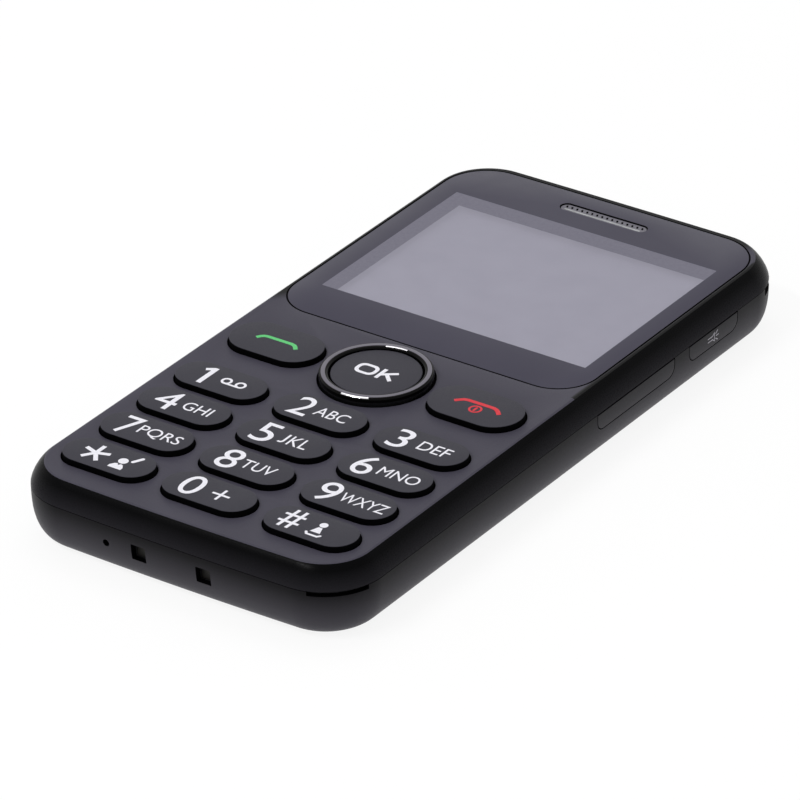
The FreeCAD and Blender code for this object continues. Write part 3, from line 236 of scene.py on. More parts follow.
@dataclass(frozen=True)
class Block:
    """Rectangular outline with round corners."""

    x0: float
    x1: float
    y0: float
    y1: float
    r: float = 0.25
    steps: int = 4

    def points(self, inset: float = 0.0) -> list[Point]:
        """Closed outline, counter-clockwise, moved inwards.

        Args:
            inset: Distance inside the outline.

        Returns:
            The points.
        """
        r = max(self.r - inset, 0.01)
        grown = (self.x0 + inset + r, self.x1 - inset - r, self.y0 + inset + r, self.y1 - inset - r)
        hubs = ((grown[1], grown[2]), (grown[1], grown[3]), (grown[0], grown[3]),
                (grown[0], grown[2]))
        loop: list[Point] = []
        for index, (x, y) in enumerate(hubs):
            first = math.pi / 2 * (index - 1)
            loop += arc(x, y, r, first, first + math.pi / 2, self.steps)
        return loop


# ---- curved outside surfaces ----
@dataclass(frozen=True)
class Skin:
    """Outside surface: a superellipse quarter run round a plan, from upright to flat."""

    plan: RoundPlan
    z_side: float
    depth: float
    run: float
    power: float

    def stations(self, steps: int) -> list[tuple[float, float]]:
        """Levels and insets of the surface, from its side to its flat.

        Args:
            steps: Number of bands.

        Returns:
            Pairs of level and inset.
        """
        made = []
        for step in range(steps + 1):
            angle = math.pi / 2 * step / steps
            rise = math.sin(angle) ** (2 / self.power)
            inset = 1 - math.cos(angle) ** (2 / self.power) if step < steps else 1.0
            made.append((self.z_side + self.depth * rise, self.run * inset))
        return made

    def inset_at(self, z: float) -> float:
        """Inset of the surface at a level."""
        rise = min(max((z - self.z_side) / self.depth, 0.0), 1.0)
        return self.run * (1 - (1 - rise ** self.power) ** (1 / self.power))

    def normal(self, x: float, y: float, z: float) -> Optional[Vector]:
        """Finds the outward normal at a point.

        Args:
            x, y, z: The point.

        Returns:
            The normal, or None off the surface.
        """
        rise = (z - self.z_side) / self.depth
        if not -0.002 <= rise <= 1.002:
            return None
        inset, out = self.plan.locate(x, y)
        if abs(inset - self.inset_at(z)) > 0.06:
            return None
        up = math.copysign(1.0, self.depth)
        if rise > 0.9995:
            return Vector((0.0, 0.0, up))
        rise = max(rise, 1e-4)
        left = (1 - rise ** self.power) ** (1 / self.power - 1)
        slope = self.run / abs(self.depth) * rise ** (self.power - 1) * left
        return Vector((out.x, out.y, up * slope)).normalized()


# ---- meshes ----
class MeshMaker:
    """Collects rings, strips and caps in millimetres and writes them as one mesh."""

    def __init__(self, turn: Optional[Matrix] = None) -> None:
        """Starts an empty mesh.

        Args:
            turn: Places every ring; rings lie in the turned frame's X and Y.
        """
        self.turn = turn
        self.verts: list[Vector] = []
        self.flat: list[Point] = []
        self.faces: list[tuple[int, ...]] = []
        self.slots: list[int] = []

    def ring(self, outline: Sequence[Point], z: float) -> list[int]:
        """Adds a ring of points.

        Args:
            outline: The points in plan.
            z: Their level.

        Returns:
            The numbers of the new vertices.
        """
        first = len(self.verts)
        for x, y in outline:
            place = Vector((x, y, z))
            self.verts.append(self.turn @ place if self.turn else place)
            self.flat.append((x, y))
        return list(range(first, len(self.verts)))

    def face(self, corners: Iterable[int], slot: int = 0) -> None:
        """Adds one face."""
        self.faces.append(tuple(corners))
        self.slots.append(slot)

    def strip(self, low: list[int], high: list[int], slot: int = 0) -> None:
        """Joins two rings that run the same way.

        Args:
            low, high: The rings, the first one lower or inside.
            slot: Material slot.
        """
        count = len(low)
        for i in range(count):
            j = (i + 1) % count
            self.face((low[i], low[j], high[j], high[i]), slot)

    def loft(self, rings: Sequence[list[int]], slot: int = 0) -> None:
        """Joins a run of rings with strips."""
        for low, high in zip(rings, rings[1:]):
            self.strip(low, high, slot)

    def cap(self, outer: list[int], holes: Sequence[list[int]] = (), up: bool = True,
            slot: int = 0) -> None:
        """Fills a ring flat, round the holes.

        Args:
            outer: Ring round the face.
            holes: Rings left open.
            up: True if the face looks along its frame's Z.
            slot: Material slot.
        """
        loops = [outer, *holes]
        ids = [i for loop in loops for i in loop]
        faces, start = [], 0
        for loop in loops:
            faces.append(list(range(start, start + len(loop))))
            start += len(loop)
        flat = [Vector(self.flat[i]) for i in ids]
        _, _, made, origin, _, inside = delaunay_2d_cdt(flat, [], faces, 1, 1e-6)
        for corners, owners in zip(made, inside):
            if owners == [0]:
                loop = [ids[origin[v][0]] for v in corners]
                self.face(loop if up else reversed(loop), slot)

    def prism(self, outline: Sequence[Point], z0: float, z1: float, slot: int = 0) -> None:
        """Closed upright block of an outline between two levels."""
        self.stack([(outline, z0), (outline, z1)], slot)

    def stack(self, levels: Sequence[tuple[Sequence[Point], float]], slot: int = 0) -> None:
        """Closed solid through outlines at rising levels.

        Args:
            levels: Outlines with their levels.
            slot: Material slot.
        """
        rings = [self.ring(outline, z) for outline, z in levels]
        self.loft(rings, slot)
        self.cap(rings[0], up=False, slot=slot)
        self.cap(rings[-1], slot=slot)

    def mesh(self, name: str) -> bpy.types.Mesh:
        """Writes the mesh in metres, all faces smooth.

        Args:
            name: Its name.

        Returns:
            The mesh.
        """
        made = bpy.data.meshes.new(name)
        made.from_pydata([tuple(v * MM) for v in self.verts], [], self.faces)
        made.polygons.foreach_set("material_index", self.slots)
        made.polygons.foreach_set("use_smooth", [True] * len(self.faces))
        made.update()
        return made


ALONG_X = Matrix(((0, 0, 1), (1, 0, 0), (0, 1, 0)))      # a ring's X, Y, Z become Y, Z, X
ALONG_Y = Matrix(((0, 1, 0), (0, 0, 1), (1, 0, 0)))      # a ring's X, Y, Z become Z, X, Y


class Join(Enum):
    """How two closed meshes are put together."""

    CUT = "DIFFERENCE"
    MEET = "INTERSECT"
    ADD = "UNION"


def joined(first: bpy.types.Mesh, second: bpy.types.Mesh, how: Join) -> bpy.types.Mesh:
    """Puts two closed meshes together.

    Args:
        first: The mesh that is worked on.
        second: The tool.
        how: Cut, meet or add.

    Returns:
        A new mesh with the first one's name.
    """
    name = first.name
    body, tool = (bpy.data.objects.new(mesh.name, mesh) for mesh in (first, second))
    for each in (body, tool):
        bpy.context.scene.collection.objects.link(each)
    modifier = body.modifiers.new("join", "BOOLEAN")
    modifier.object, modifier.operation, modifier.solver = tool, how.value, "MANIFOLD"
    made = bpy.data.meshes.new_from_object(
        body.evaluated_get(bpy.context.evaluated_depsgraph_get()))
    for each in (body, tool):
        bpy.data.objects.remove(each)
    for mesh in (first, second):
        bpy.data.meshes.remove(mesh)
    made.name = name
    made.polygons.foreach_set("use_smooth", [True] * len(made.polygons))
    return made


def dress_normals(mesh: bpy.types.Mesh, skins: Sequence[Skin], sharp: float = 32.0) -> None:
    """Gives the curved outside its exact normals and keeps hard edges hard.

    Args:
        mesh: The mesh.
        skins: Surfaces that its outside follows.
        sharp: Angle in degrees above which an edge is hard.
    """
    mesh.set_sharp_from_angle(angle=math.radians(sharp))
    if not skins:
        return
    normals = [Vector((0.0, 0.0, 0.0))] * len(mesh.loops)
    for polygon in mesh.polygons:
        for loop in polygon.loop_indices:
            x, y, z = mesh.vertices[mesh.loops[loop].vertex_index].co / MM
            for skin in skins:
                found = skin.normal(x, y, z)
                if found and found.dot(polygon.normal) > 0.93:
                    normals[loop] = found
                    break
    mesh.normals_split_custom_set(normals)


def new_object(name: str, mesh: bpy.types.Mesh,
               materials: Sequence[bpy.types.Material]) -> bpy.types.Object:
    """Links a finished mesh as an object at the origin.

    Args:
        name: The piece's name.
        mesh: Its mesh, in place.
        materials: One for each material slot.

    Returns:
        The object.
    """
    mesh.name = name
    slots = [polygon.material_index for polygon in mesh.polygons]
    mesh.materials.clear()
    for material in materials:
        mesh.materials.append(material)
    mesh.polygons.foreach_set("material_index", slots)
    made = bpy.data.objects.new(name, mesh)
    bpy.context.scene.collection.objects.link(made)
    return made


def place(piece: bpy.types.Object, body: str, slot: str, nodes: Sequence[str] = ()) -> None:
    """Hangs a piece on its body, hides the CAD nodes it replaces and logs it.

    Args:
        piece: The object.
        body: CAD body it moves with.
        slot: Record slot of its finish; not used.
        nodes: CAD nodes it replaces.
    """
    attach(piece, body)
    if nodes:
        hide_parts(*nodes)
    LOG.info("%s: %d faces on %s", piece.name, len(piece.data.polygons), body)


# ---- node helpers ----
def linear(code: str) -> tuple[float, float, float, float]:
    """Turns an sRGB colour to linear.

    Args:
        code: Hex value such as 48464f.

    Returns:
        Red, green, blue and alpha.
    """
    parts = [int(code[i:i + 2], 16) / 255 for i in (0, 2, 4)]
    made = [c / 12.92 if c <= 0.04045 else ((c + 0.055) / 1.055) ** 2.4 for c in parts]
    return made[0], made[1], made[2], 1.0


def add(tree: bpy.types.NodeTree, kind: str, settings: Optional[dict] = None,
        **inputs: object) -> bpy.types.Node:
    """Adds a node.

    Args:
        tree: Node tree.
        kind: Blender's type name of the node.
        settings: Properties to set on it.
        **inputs: Values or sockets by the input's name or number, with _ for a space.

    Returns:
        The node.
    """
    made = tree.nodes.new(kind)
    for key, value in (settings or {}).items():
        setattr(made, key, value)
    for key, value in inputs.items():
        name = key.replace("_", " ").strip()
        numbered = name.startswith("in") and name[2:].isdigit()
        target = made.inputs[int(name[2:]) if numbered else name]
        if isinstance(value, bpy.types.NodeSocket):
            tree.links.new(value, target)
        else:
            target.default_value = value
    return made


# ---- finishes ----
class Surface:
    """One material under construction: its tree, shader and Object coordinates."""

    def __init__(self, name: str) -> None:
        """Starts a material with one Principled shader.

        Args:
            name: Its name.
        """
        self.material = bpy.data.materials.new(name)
        self.material.use_nodes = True
        self.tree = self.material.node_tree
        self.shader = self.tree.nodes["Principled BSDF"]
        self.coords = add(self.tree, "ShaderNodeTexCoord").outputs["Object"]

    def add(self, kind: str, settings: Optional[dict] = None, **inputs: object) -> bpy.types.Node:
        """Adds a node to this material."""
        return add(self.tree, kind, settings, **inputs)

    def set(self, **values: object) -> None:
        """Sets or links the shader's inputs.

        Args:
            **values: Values or sockets by the input's name, with _ for a space.
        """
        for key, value in values.items():
            target = self.shader.inputs[key.replace("_", " ")]
            if isinstance(value, bpy.types.NodeSocket):
                self.tree.links.new(value, target)
            else:
                target.default_value = value

    def noise(self, size_mm: float, detail: float = 2.0) -> bpy.types.NodeSocket:
        """Cloudy pattern.

        Args:
            size_mm: Size of its features.
            detail: Finer layers in it.

        Returns:
            A value from 0 to 1.
        """
        made = self.add("ShaderNodeTexNoise", {"noise_dimensions": "3D"}, Vector=self.coords,
                        Scale=1 / (size_mm * MM), Detail=detail)
        return made.outputs["Fac"]

    def spread(self, value: bpy.types.NodeSocket, low: float, high: float, first: float = 0.3,
               last: float = 0.7) -> bpy.types.NodeSocket:
        """Maps one range to another.

        Args:
            value: What is mapped.
            low, high: Range that comes out.
            first, last: Range that goes in.

        Returns:
            The mapped value.
        """
        made = self.add("ShaderNodeMapRange", None, Value=value, From_Min=first, From_Max=last,
                        To_Min=low, To_Max=high)
        return made.outputs["Result"]

    def blend(self, factor: object, first: object, second: object) -> bpy.types.NodeSocket:
        """Mixes two colours.

        Args:
            factor: 0 for the first, 1 for the second.
            first, second: Hex codes or sockets.

        Returns:
            The mixed colour.
        """
        made = self.add("ShaderNodeMix", {"data_type": "RGBA"})
        for index, value in zip((0, 6, 7), (factor, first, second)):
            if isinstance(value, bpy.types.NodeSocket):
                self.tree.links.new(value, made.inputs[index])
            else:
                plain = linear(value) if isinstance(value, str) else value
                made.inputs[index].default_value = plain
        return made.outputs[2]

    def height(self) -> bpy.types.NodeSocket:
        """Measures the level above the resting plane.

        Returns:
            The level in millimetres.
        """
        split = self.add("ShaderNodeSeparateXYZ", None, Vector=self.coords)
        made = self.add("ShaderNodeMath", {"operation": "DIVIDE"}, in0=split.outputs["Z"], in1=MM)
        return made.outputs[0]

    def bump(self, height: bpy.types.NodeSocket, depth_mm: float) -> bpy.types.NodeSocket:
        """Tilts the normal by a fine relief.

        Args:
            height: The relief.
            depth_mm: Its depth.

        Returns:
            The normal.
        """
        made = self.add("ShaderNodeBump", None, Height=height, Strength=1.0,
                        Distance=depth_mm * MM)
        return made.outputs["Normal"]


class Finish(Protocol):
    """Recipe of one material."""

    def build(self) -> bpy.types.Material:
        """Makes the material.

        Returns:
            The material, ready to assign.
        """


@dataclass(frozen=True)
class MouldedPlastic:
    """ABS and polycarbonate blend moulded against a spark-eroded tool.

    The eye sees a soft even sheen, a grain too fine to tell apart and slightly cloudy colour.
    """

    name: str
    light: str
    dark: str
    roughness: float = 0.5
    specular: float = 0.35
    grain_mm: float = 0.22          # real spark grain is about 0.05 mm; drawn coarser to show
    grain_depth_mm: float = 0.004
    side: Optional[str] = None      # lighter colour painted low down as a painted reflection of the white table, if any
    painted_sheen_from_mm: float = 0.0
    painted_sheen_to_mm: float = 1.0
    groove_shade: Optional[str] = None    # painted shade beside the window's recess, at its left, top and right
    margin_low_mm: float = 2.3      # level in Y where the margin starts
    margin_lean_mm: float = 31.0    # its slanting edge: Y is X plus this
    margin_fade_mm: Point = (0.5, 3.5)
    margin_right_mm: Point = (28.6, 28.9)

    def groove_shade_mask(self, s: Surface) -> bpy.types.NodeSocket:
        """Marks where shade is painted beside the window's left, top and right edges.

        Args:
            s: The material under construction.

        Returns:
            One where the shade is painted, nought elsewhere.
        """
        split = s.add("ShaderNodeSeparateXYZ", None, Vector=s.coords)
        high = s.add("ShaderNodeMath", {"operation": "SUBTRACT"}, in0=split.outputs["Y"],
                     in1=self.margin_lean_mm * MM)
        lean = s.add("ShaderNodeMath", {"operation": "SUBTRACT"}, in0=high.outputs[0],
                     in1=split.outputs["X"])
        corner = s.spread(lean.outputs[0], 0.0, 1.0, *(v * MM for v in self.margin_fade_mm))
        beside = s.spread(split.outputs["X"], 0.0, 1.0, *(v * MM for v in self.margin_right_mm))
        around = s.add("ShaderNodeMath", {"operation": "MAXIMUM"}, in0=corner, in1=beside)
        above = s.add("ShaderNodeMath", {"operation": "GREATER_THAN"}, in0=split.outputs["Y"],
                      in1=self.margin_low_mm * MM)
        return s.add("ShaderNodeMath", {"operation": "MULTIPLY"}, in0=around.outputs[0],
                     in1=above.outputs[0]).outputs[0]

    def build(self) -> bpy.types.Material:
        """Makes the material.

        Returns:
            The material.
        """
        s = Surface(self.name)
        cloud = s.spread(s.noise(9.0, 3.0), 0.0, 1.0)
        colour = s.blend(cloud, self.dark, self.light)
        grain = s.noise(self.grain_mm, 1.0)
        # Painted reflection of the table: the colour turns lighter towards the bottom.
        if self.side:
            rise = s.spread(s.height(), 0.0, 1.0, self.painted_sheen_from_mm, self.painted_sheen_to_mm)
            colour = s.blend(rise, self.side, colour)
        # Painted shade beside the window's recess.
        if self.groove_shade:
            colour = s.blend(self.groove_shade_mask(s), colour, self.groove_shade)
        s.set(Base_Color=colour, Specular_IOR_Level=self.specular, IOR=1.5,
              Roughness=s.spread(grain, self.roughness - 0.04, self.roughness + 0.05),
              Normal=s.bump(grain, self.grain_depth_mm))
        return s.material


@dataclass(frozen=True)
class PadPrint:
    """Two-part pad-printing ink, cured matt, with a faint stipple from the pad."""

    name: str
    colour: str
    edge: str

    def build(self) -> bpy.types.Material:
        """Makes the material.

        Returns:
            The material.
        """
        s = Surface(self.name)
        stipple = s.noise(0.25, 2.0)
        s.set(Base_Color=s.blend(s.spread(stipple, 0.0, 1.0), self.edge, self.colour),
              Roughness=s.spread(s.noise(0.6), 0.42, 0.58), Specular_IOR_Level=0.3,
              Normal=s.bump(stipple, 0.003))
        return s.material


@dataclass(frozen=True)
class MetallisedTrim:
    """Black-chrome film sputtered on plastic and lacquered: mirror-like, smoky, a little wavy."""

    name: str
    light: str = "8f8a8c"
    dark: str = "4a4648"
    roughness: float = 0.13

    def build(self) -> bpy.types.Material:
        """Makes the material.

        Returns:
            The material.
        """
        s = Surface(self.name)
        haze = s.noise(7.0, 1.0)
        s.set(Base_Color=s.blend(s.spread(haze, 0.0, 1.0), self.dark, self.light), Metallic=1.0,
              Roughness=s.spread(haze, self.roughness, self.roughness + 0.03),
              Normal=s.bump(haze, 0.002))
        return s.material


@dataclass(frozen=True)
class PrintedWindow:
    """Acrylic front window, screen printed in grey on its back: flat, smooth, faintly glossy."""

    name: str
    light: str
    dark: str
    roughness: float = 0.3

    def build(self) -> bpy.types.Material:
        """Makes the material.

        Returns:
            The material.
        """
        s = Surface(self.name)
        film = s.noise(14.0, 2.0)
        s.set(Base_Color=s.blend(s.spread(film, 0.0, 1.0), self.dark, self.light), IOR=1.49,
              Roughness=s.spread(s.noise(3.0), self.roughness - 0.02, self.roughness + 0.03),
              Specular_IOR_Level=0.1, Normal=s.bump(s.noise(0.6), 0.0006))
        return s.material


@dataclass(frozen=True)
class ClearPane:
    """Unprinted acrylic bonded over the display: hazy film that lets the display show."""

    name: str
    light: str = "acaab9"
    dark: str = "a8a6b5"
    haze: float = 0.62

    def build(self) -> bpy.types.Material:
        """Makes the material.

        Returns:
            The material.
        """
        s = Surface(self.name)
        s.set(Base_Color=s.blend(s.spread(s.noise(6.0), 0.0, 1.0), self.dark, self.light),
              Roughness=s.spread(s.noise(3.0), 0.3, 0.36), Specular_IOR_Level=0.2, IOR=1.49)
        clear = s.add("ShaderNodeBsdfTransparent", None, Color=(1.0, 1.0, 1.0, 1.0))
        mix = s.add("ShaderNodeMixShader", None, in0=self.haze, in1=clear.outputs[0],
                    in2=s.shader.outputs[0])
        s.tree.links.new(mix.outputs[0], s.tree.nodes["Material Output"].inputs["Surface"])
        return s.material


@dataclass(frozen=True)
class Polariser:
    """Switched-off display under its polarising film: grey-lilac, with fine cell rows."""

    name: str
    light: str
    dark: str
    row: str = "8e8c9b"             # colour of the lines between the cell rows
    rows_mm: float = 0.3            # real cells are 0.15 mm; drawn coarser to show

    def build(self) -> bpy.types.Material:
        """Makes the material.

        Returns:
            The material.
        """
        s = Surface(self.name)
        rows = s.add("ShaderNodeTexWave", {"wave_type": "BANDS", "bands_direction": "Y"},
                     Vector=s.coords, Scale=1 / (self.rows_mm * MM) / 20, Distortion=0.0)
        cloud = s.spread(s.noise(22.0, 1.0), 0.0, 1.0)
        colour = s.blend(cloud, self.dark, self.light)
        row = s.spread(rows.outputs["Fac"], 0.0, 0.08, 0.0, 1.0)
        s.set(Base_Color=s.blend(row, colour, self.row),
              Roughness=s.spread(s.noise(1.2), 0.4, 0.5), Specular_IOR_Level=0.3)
        return s.material


@dataclass(frozen=True)
class SheetMetal:
    """Rolled sheet, drawn or stamped: fine streaks along the rolling direction."""

    name: str
    light: str
    dark: str
    roughness: float = 0.32
    metallic: float = 1.0
    streak_mm: float = 0.12

    def build(self) -> bpy.types.Material:
        """Makes the material.

        Returns:
            The material.
        """
        s = Surface(self.name)
        turned = s.add("ShaderNodeMapping", None, Vector=s.coords, Scale=(0.04, 1.0, 1.0))
        streak = s.add("ShaderNodeTexNoise", None, Vector=turned.outputs[0],
                       Scale=1 / (self.streak_mm * MM), Detail=2.0).outputs["Fac"]
        s.set(Base_Color=s.blend(s.spread(streak, 0.0, 1.0), self.dark, self.light),
              Metallic=self.metallic, Normal=s.bump(streak, 0.002),
              Roughness=s.spread(streak, self.roughness - 0.06, self.roughness + 0.1))
        return s.material


@dataclass(frozen=True)
class Elastomer:
    """Silicone or foam: matt, soft, with a powdery bloom."""

    name: str
    light: str
    dark: str
    cell_mm: float = 0.3

    def build(self) -> bpy.types.Material:
        """Makes the material.

        Returns:
            The material.
        """
        s = Surface(self.name)
        cells = s.add("ShaderNodeTexVoronoi", None, Vector=s.coords,
                      Scale=1 / (self.cell_mm * MM))
        cell = cells.outputs["Distance"]
        s.set(Base_Color=s.blend(s.spread(s.noise(4.0), 0.0, 1.0), self.dark, self.light),
              Roughness=s.spread(cell, 0.7, 0.85), Specular_IOR_Level=0.25,
              Sheen_Weight=0.1, Normal=s.bump(cell, 0.01))
        return s.material


@dataclass(frozen=True)
class Laminate:
    """Glass-epoxy board under solder mask: copper tracks raise the mask and lighten it."""

    name: str
    mask: str = "0f4a2a"
    other: str = "0c3f24"
    shade: str = "062e18"
    track: str = "1d6b3c"
    pitch_mm: float = 1.3

    def build(self) -> bpy.types.Material:
        """Makes the material.

        Returns:
            The material.
        """
        s = Surface(self.name)
        tracks = s.add("ShaderNodeTexBrick", {"offset": 0.37, "squash": 0.6, "squash_frequency": 3},
                       Vector=s.coords, Scale=1 / (self.pitch_mm * MM) / 4, Mortar_Size=0.03,
                       Color1=linear(self.mask), Color2=linear(self.other),
                       Mortar=linear(self.track))
        line = tracks.outputs["Fac"]
        shade = s.spread(s.noise(6.0), 0.0, 0.25)
        s.set(Base_Color=s.blend(shade, tracks.outputs["Color"], self.shade),
              Roughness=s.spread(s.noise(0.5), 0.28, 0.38), Normal=s.bump(line, 0.02))
        return s.material


@dataclass(frozen=True)
class SleevedCell:
    """Heat-shrunk sleeve over a flat cell: satin film, with a plain printed panel and rules."""

    name: str
    film: str = "3d4046"
    fold: str = "34373c"
    panel: str = "c9ccd1"
    rule_mm: float = 4.0            # distance between the printed rules
    rule_half_mm: float = 0.12
    panel_half_mm: float = 13.0

    def build(self) -> bpy.types.Material:
        """Makes the material.

        Returns:
            The material.
        """
        s = Surface(self.name)
        split = s.add("ShaderNodeSeparateXYZ", None, Vector=s.coords)
        rules = s.add("ShaderNodeMath", {"operation": "PINGPONG"}, in0=split.outputs["Y"],
                      in1=self.rule_mm * MM)
        band = s.add("ShaderNodeMath", {"operation": "LESS_THAN"}, in0=rules.outputs[0],
                     in1=self.rule_half_mm * MM)
        side = s.add("ShaderNodeMath", {"operation": "ABSOLUTE"}, in0=split.outputs["X"])
        inside = s.add("ShaderNodeMath", {"operation": "LESS_THAN"}, in0=side.outputs[0],
                       in1=self.panel_half_mm * MM)
        shown = s.add("ShaderNodeMath", {"operation": "MULTIPLY"}, in0=band.outputs[0],
                      in1=inside.outputs[0])
        wrinkle = s.noise(5.0, 3.0)
        film = s.blend(s.spread(wrinkle, 0.0, 1.0), self.fold, self.film)
        s.set(Base_Color=s.blend(shown.outputs[0], film, self.panel),
              Roughness=s.spread(wrinkle, 0.3, 0.42), Normal=s.bump(wrinkle, 0.05))
        return s.material


@dataclass(frozen=True)
class ClearPart:
    """Moulded clear polymer or coated glass: dark behind, bright where it catches a lamp."""

    name: str
    tint: str
    depth: str
    transmission: float = 0.85
    roughness: float = 0.05

    def build(self) -> bpy.types.Material:
        """Makes the material.

        Returns:
            The material.
        """
        s = Surface(self.name)
        s.set(Base_Color=s.blend(s.spread(s.noise(1.0), 0.0, 1.0), self.depth, self.tint),
              Roughness=s.spread(s.noise(2.0), self.roughness, self.roughness + 0.05),
              Transmission_Weight=self.transmission, IOR=1.5)
        return s.material


@dataclass(frozen=True)
class WovenCloth:
    """Acoustic gauze of black monofilament: a square weave that glints on its crossings."""

    name: str
    light: str
    dark: str
    thread_mm: float = 0.32         # real threads are 0.08 mm apart; drawn coarser to show

    def build(self) -> bpy.types.Material:
        """Makes the material.

        Returns:
            The material.
        """
        s = Surface(self.name)
        waves = [s.add("ShaderNodeTexWave", {"bands_direction": axis}, Vector=s.coords,
                       Scale=1 / (self.thread_mm * MM) / 20).outputs["Fac"] for axis in "XY"]
        weave = s.add("ShaderNodeMath", {"operation": "MULTIPLY"}, in0=waves[0], in1=waves[1])
        s.set(Base_Color=s.blend(weave.outputs[0], self.dark, self.light), Roughness=0.6,
              Normal=s.bump(weave.outputs[0], 0.03))
        return s.material


class Finishes:
    """Every material of the phone, made once, by record slot."""

    def __init__(self) -> None:
        """Builds the materials."""
        self.made: dict[str, bpy.types.Material] = {}
        for slot, finish in self.recipes().items():
            self.made[slot] = finish.build()

    @staticmethod
    def recipes() -> dict[str, Finish]:
        """Finish of each record slot, and of the prints.

        Returns:
            The finishes by slot.
        """
        return {
            # The face's grey is lighter than the rim's and partly stands for the overhead light's
            # sheen.
            "housing_plastic": MouldedPlastic(
                "textured_charcoal_abs", "403e49", "3c3a45", specular=0.15, groove_shade="060607"),
            "key_plastic": MouldedPlastic(
                "keycap_polycarbonate", "33323a", "302f37", specular=0.15),
            # Painted reflection: the cover and the side keys turn lighter towards the bottom, as
            # the white table shows in them.
            "cover_plastic": MouldedPlastic(
                "textured_cover_abs", "0e0d10", "0b0a0d", roughness=0.42, specular=0.08,
                side="504e55", painted_sheen_from_mm=-0.5, painted_sheen_to_mm=8.3),
            "side_key_plastic": MouldedPlastic(
                "side_key_abs", "18171b", "151418", roughness=0.4, specular=0.1, side="504e55",
                painted_sheen_from_mm=-0.5, painted_sheen_to_mm=8.3),
            "chassis_plastic": MouldedPlastic(
                "black_chassis_abs", "1d1d20", "17171a", roughness=0.55),
            # Painted shade: the rim round the face near black, lighter towards the parting line as
            # a painted reflection of the table.
            "rim_plastic": MouldedPlastic(
                "rim_painted_shade_black", "050506", "030304", roughness=0.28, specular=0.03,
                side="232226", painted_sheen_from_mm=8.3, painted_sheen_to_mm=11.6),
            # Painted shade: near black for key sides, hole and opening walls, the window's edge and
            # the grille's piercings.
            "key_wall": MouldedPlastic(
                "key_side_wall", "030304", "020203", roughness=0.6, specular=0.02),
            "clear_pane": ClearPane("clear_acrylic"),
            "display_seal": PadPrint("display_border", "676573", "646270"),
            "ring_plastic": MouldedPlastic("gloss_ring_abs", "0a0a0b", "070708", roughness=0.3),
            "connector_plastic": MouldedPlastic(
                "connector_nylon", "1f1f22", "17171a", roughness=0.45),
            "lens_plastic": PrintedWindow("printed_acrylic", "42404d", "3f3d4a"),
            "dark_chrome": MetallisedTrim("black_chrome", "75727b", "6c6972"),
            # Painted highlight: bright chrome on two stretches of the trim's flanks.
            "trim_polish": MetallisedTrim("polished_chrome", "e4e2e6", "dcdade", 0.08),
            # Painted shade: the trim's flanks near black, standing for the dark they reflect.
            "trim_flank": MouldedPlastic(
                "black_chrome_flank", "060505", "040404", roughness=0.1, specular=0.06),
            "lcd_glass": Polariser("polariser_film", "9a98a7", "95939f"),
            "sheet_steel": SheetMetal("tinned_steel", "b9bbbd", "96989b"),
            "receiver_metal": SheetMetal("receiver_steel", "a5a6a8", "85868a"),
            "screw_steel": SheetMetal("zinc_plated_steel", "9a9ca0", "707276", 0.28, streak_mm=0.3),
            "dome_foil": SheetMetal("dome_foil", "c6c8cb", "a4a6aa", 0.25),
            # Painted shade: the gold contacts are drawn near black, as they lie in the shade of
            # their windows.
            "contact_gold": SheetMetal("gold_flash", "0d0a05", "080603", 0.5, 0.2),
            "flex_film": SheetMetal("polyimide_film", "b8772a", "9c5f1c", 0.35, 0.0),
            "backlight_film": SheetMetal("diffuser_film", "e6e7ea", "d9dadd", 0.4, 0.0),
            "keypad_rubber": Elastomer("keypad_silicone", "4a4a4f", "3e3e43"),
            "tape_foam": Elastomer("foam_tape", "1c1c1e", "121214", 0.2),
            "board_laminate": Laminate("solder_mask_laminate"),
            "battery_wrap": SleevedCell("shrink_sleeve"),
            "grille_paint": PadPrint("grille_paint", "6c6a72", "615f68"),
            "black_mesh": WovenCloth("acoustic_gauze", "3c3c40", "0a0a0b"),
            "camera_glass": ClearPart("coated_glass", "3a3d52", "14151c", 0.5),
            "lamp_resin": ClearPart("lamp_resin", "efe6a8", "e2d68a", 0.2, 0.2),
            "light_guide": ClearPart("light_guide_acrylic", "eef1f4", "dfe3e8", 0.9),
            "white_print": PadPrint("white_ink", "f0eff5", "dcdbe4"),
            "green_print": PadPrint("green_ink", "5fc877", "4fb568"),
            "red_print": PadPrint("red_ink", "d42a38", "c5222f"),
            "grey_print": PadPrint("grey_ink", "a3a0a8", "918e97"),
        }

    def __getitem__(self, slot: str) -> bpy.types.Material:
        """Material of a slot."""
        return self.made[slot]

    def several(self, *slots: str) -> list[bpy.types.Material]:
        """Materials for a piece that shows more than one.

        Args:
            slots: Names of the record slots, the piece's own first.

        Returns:
            The materials in the same order.
        """
        return [self.made[slot] for slot in slots]

    def dress_nodes(self) -> None:
        """Gives every CAD node the finish that the record names for it."""
        for part in frame["record"]["subparts"]:
            node = frame["nodes"][part["node"]]
            material = self.made[part["material_slot"]]
            if not node.material_slots:
                node.data.materials.append(material)
            for slot in node.material_slots:
                slot.material = material
            LOG.info("%s dressed in %s", node.name, material.name)


# ---- the phone's own surfaces and levels ----
FACE_Z = 12.55
PARTING_Z = 8.85
BODY = RoundPlan(31.6, -63.15, 63.15, 10.1, 10.8, 0.6, 0.2, steps=16)
LENS = RoundPlan(28.75, 2.45, 59.85, 7.0, 8.0, 0.0, 0.2, steps=16)
FRONT_SKIN = Skin(BODY, PARTING_Z, FACE_Z - PARTING_Z, 2.5, 1.37)
BACK_SKIN = Skin(BODY, PARTING_Z, -PARTING_Z, 5.3, 2.81)
SKIN_BANDS = 26
HOLLOW_BANDS = 14
LIP_STEPS = 3
KEY_EDGE_STEPS = 4
OUTSIDE: Box = (-40.0, 40.0, -80.0, 80.0)     # block wider and longer than the phone


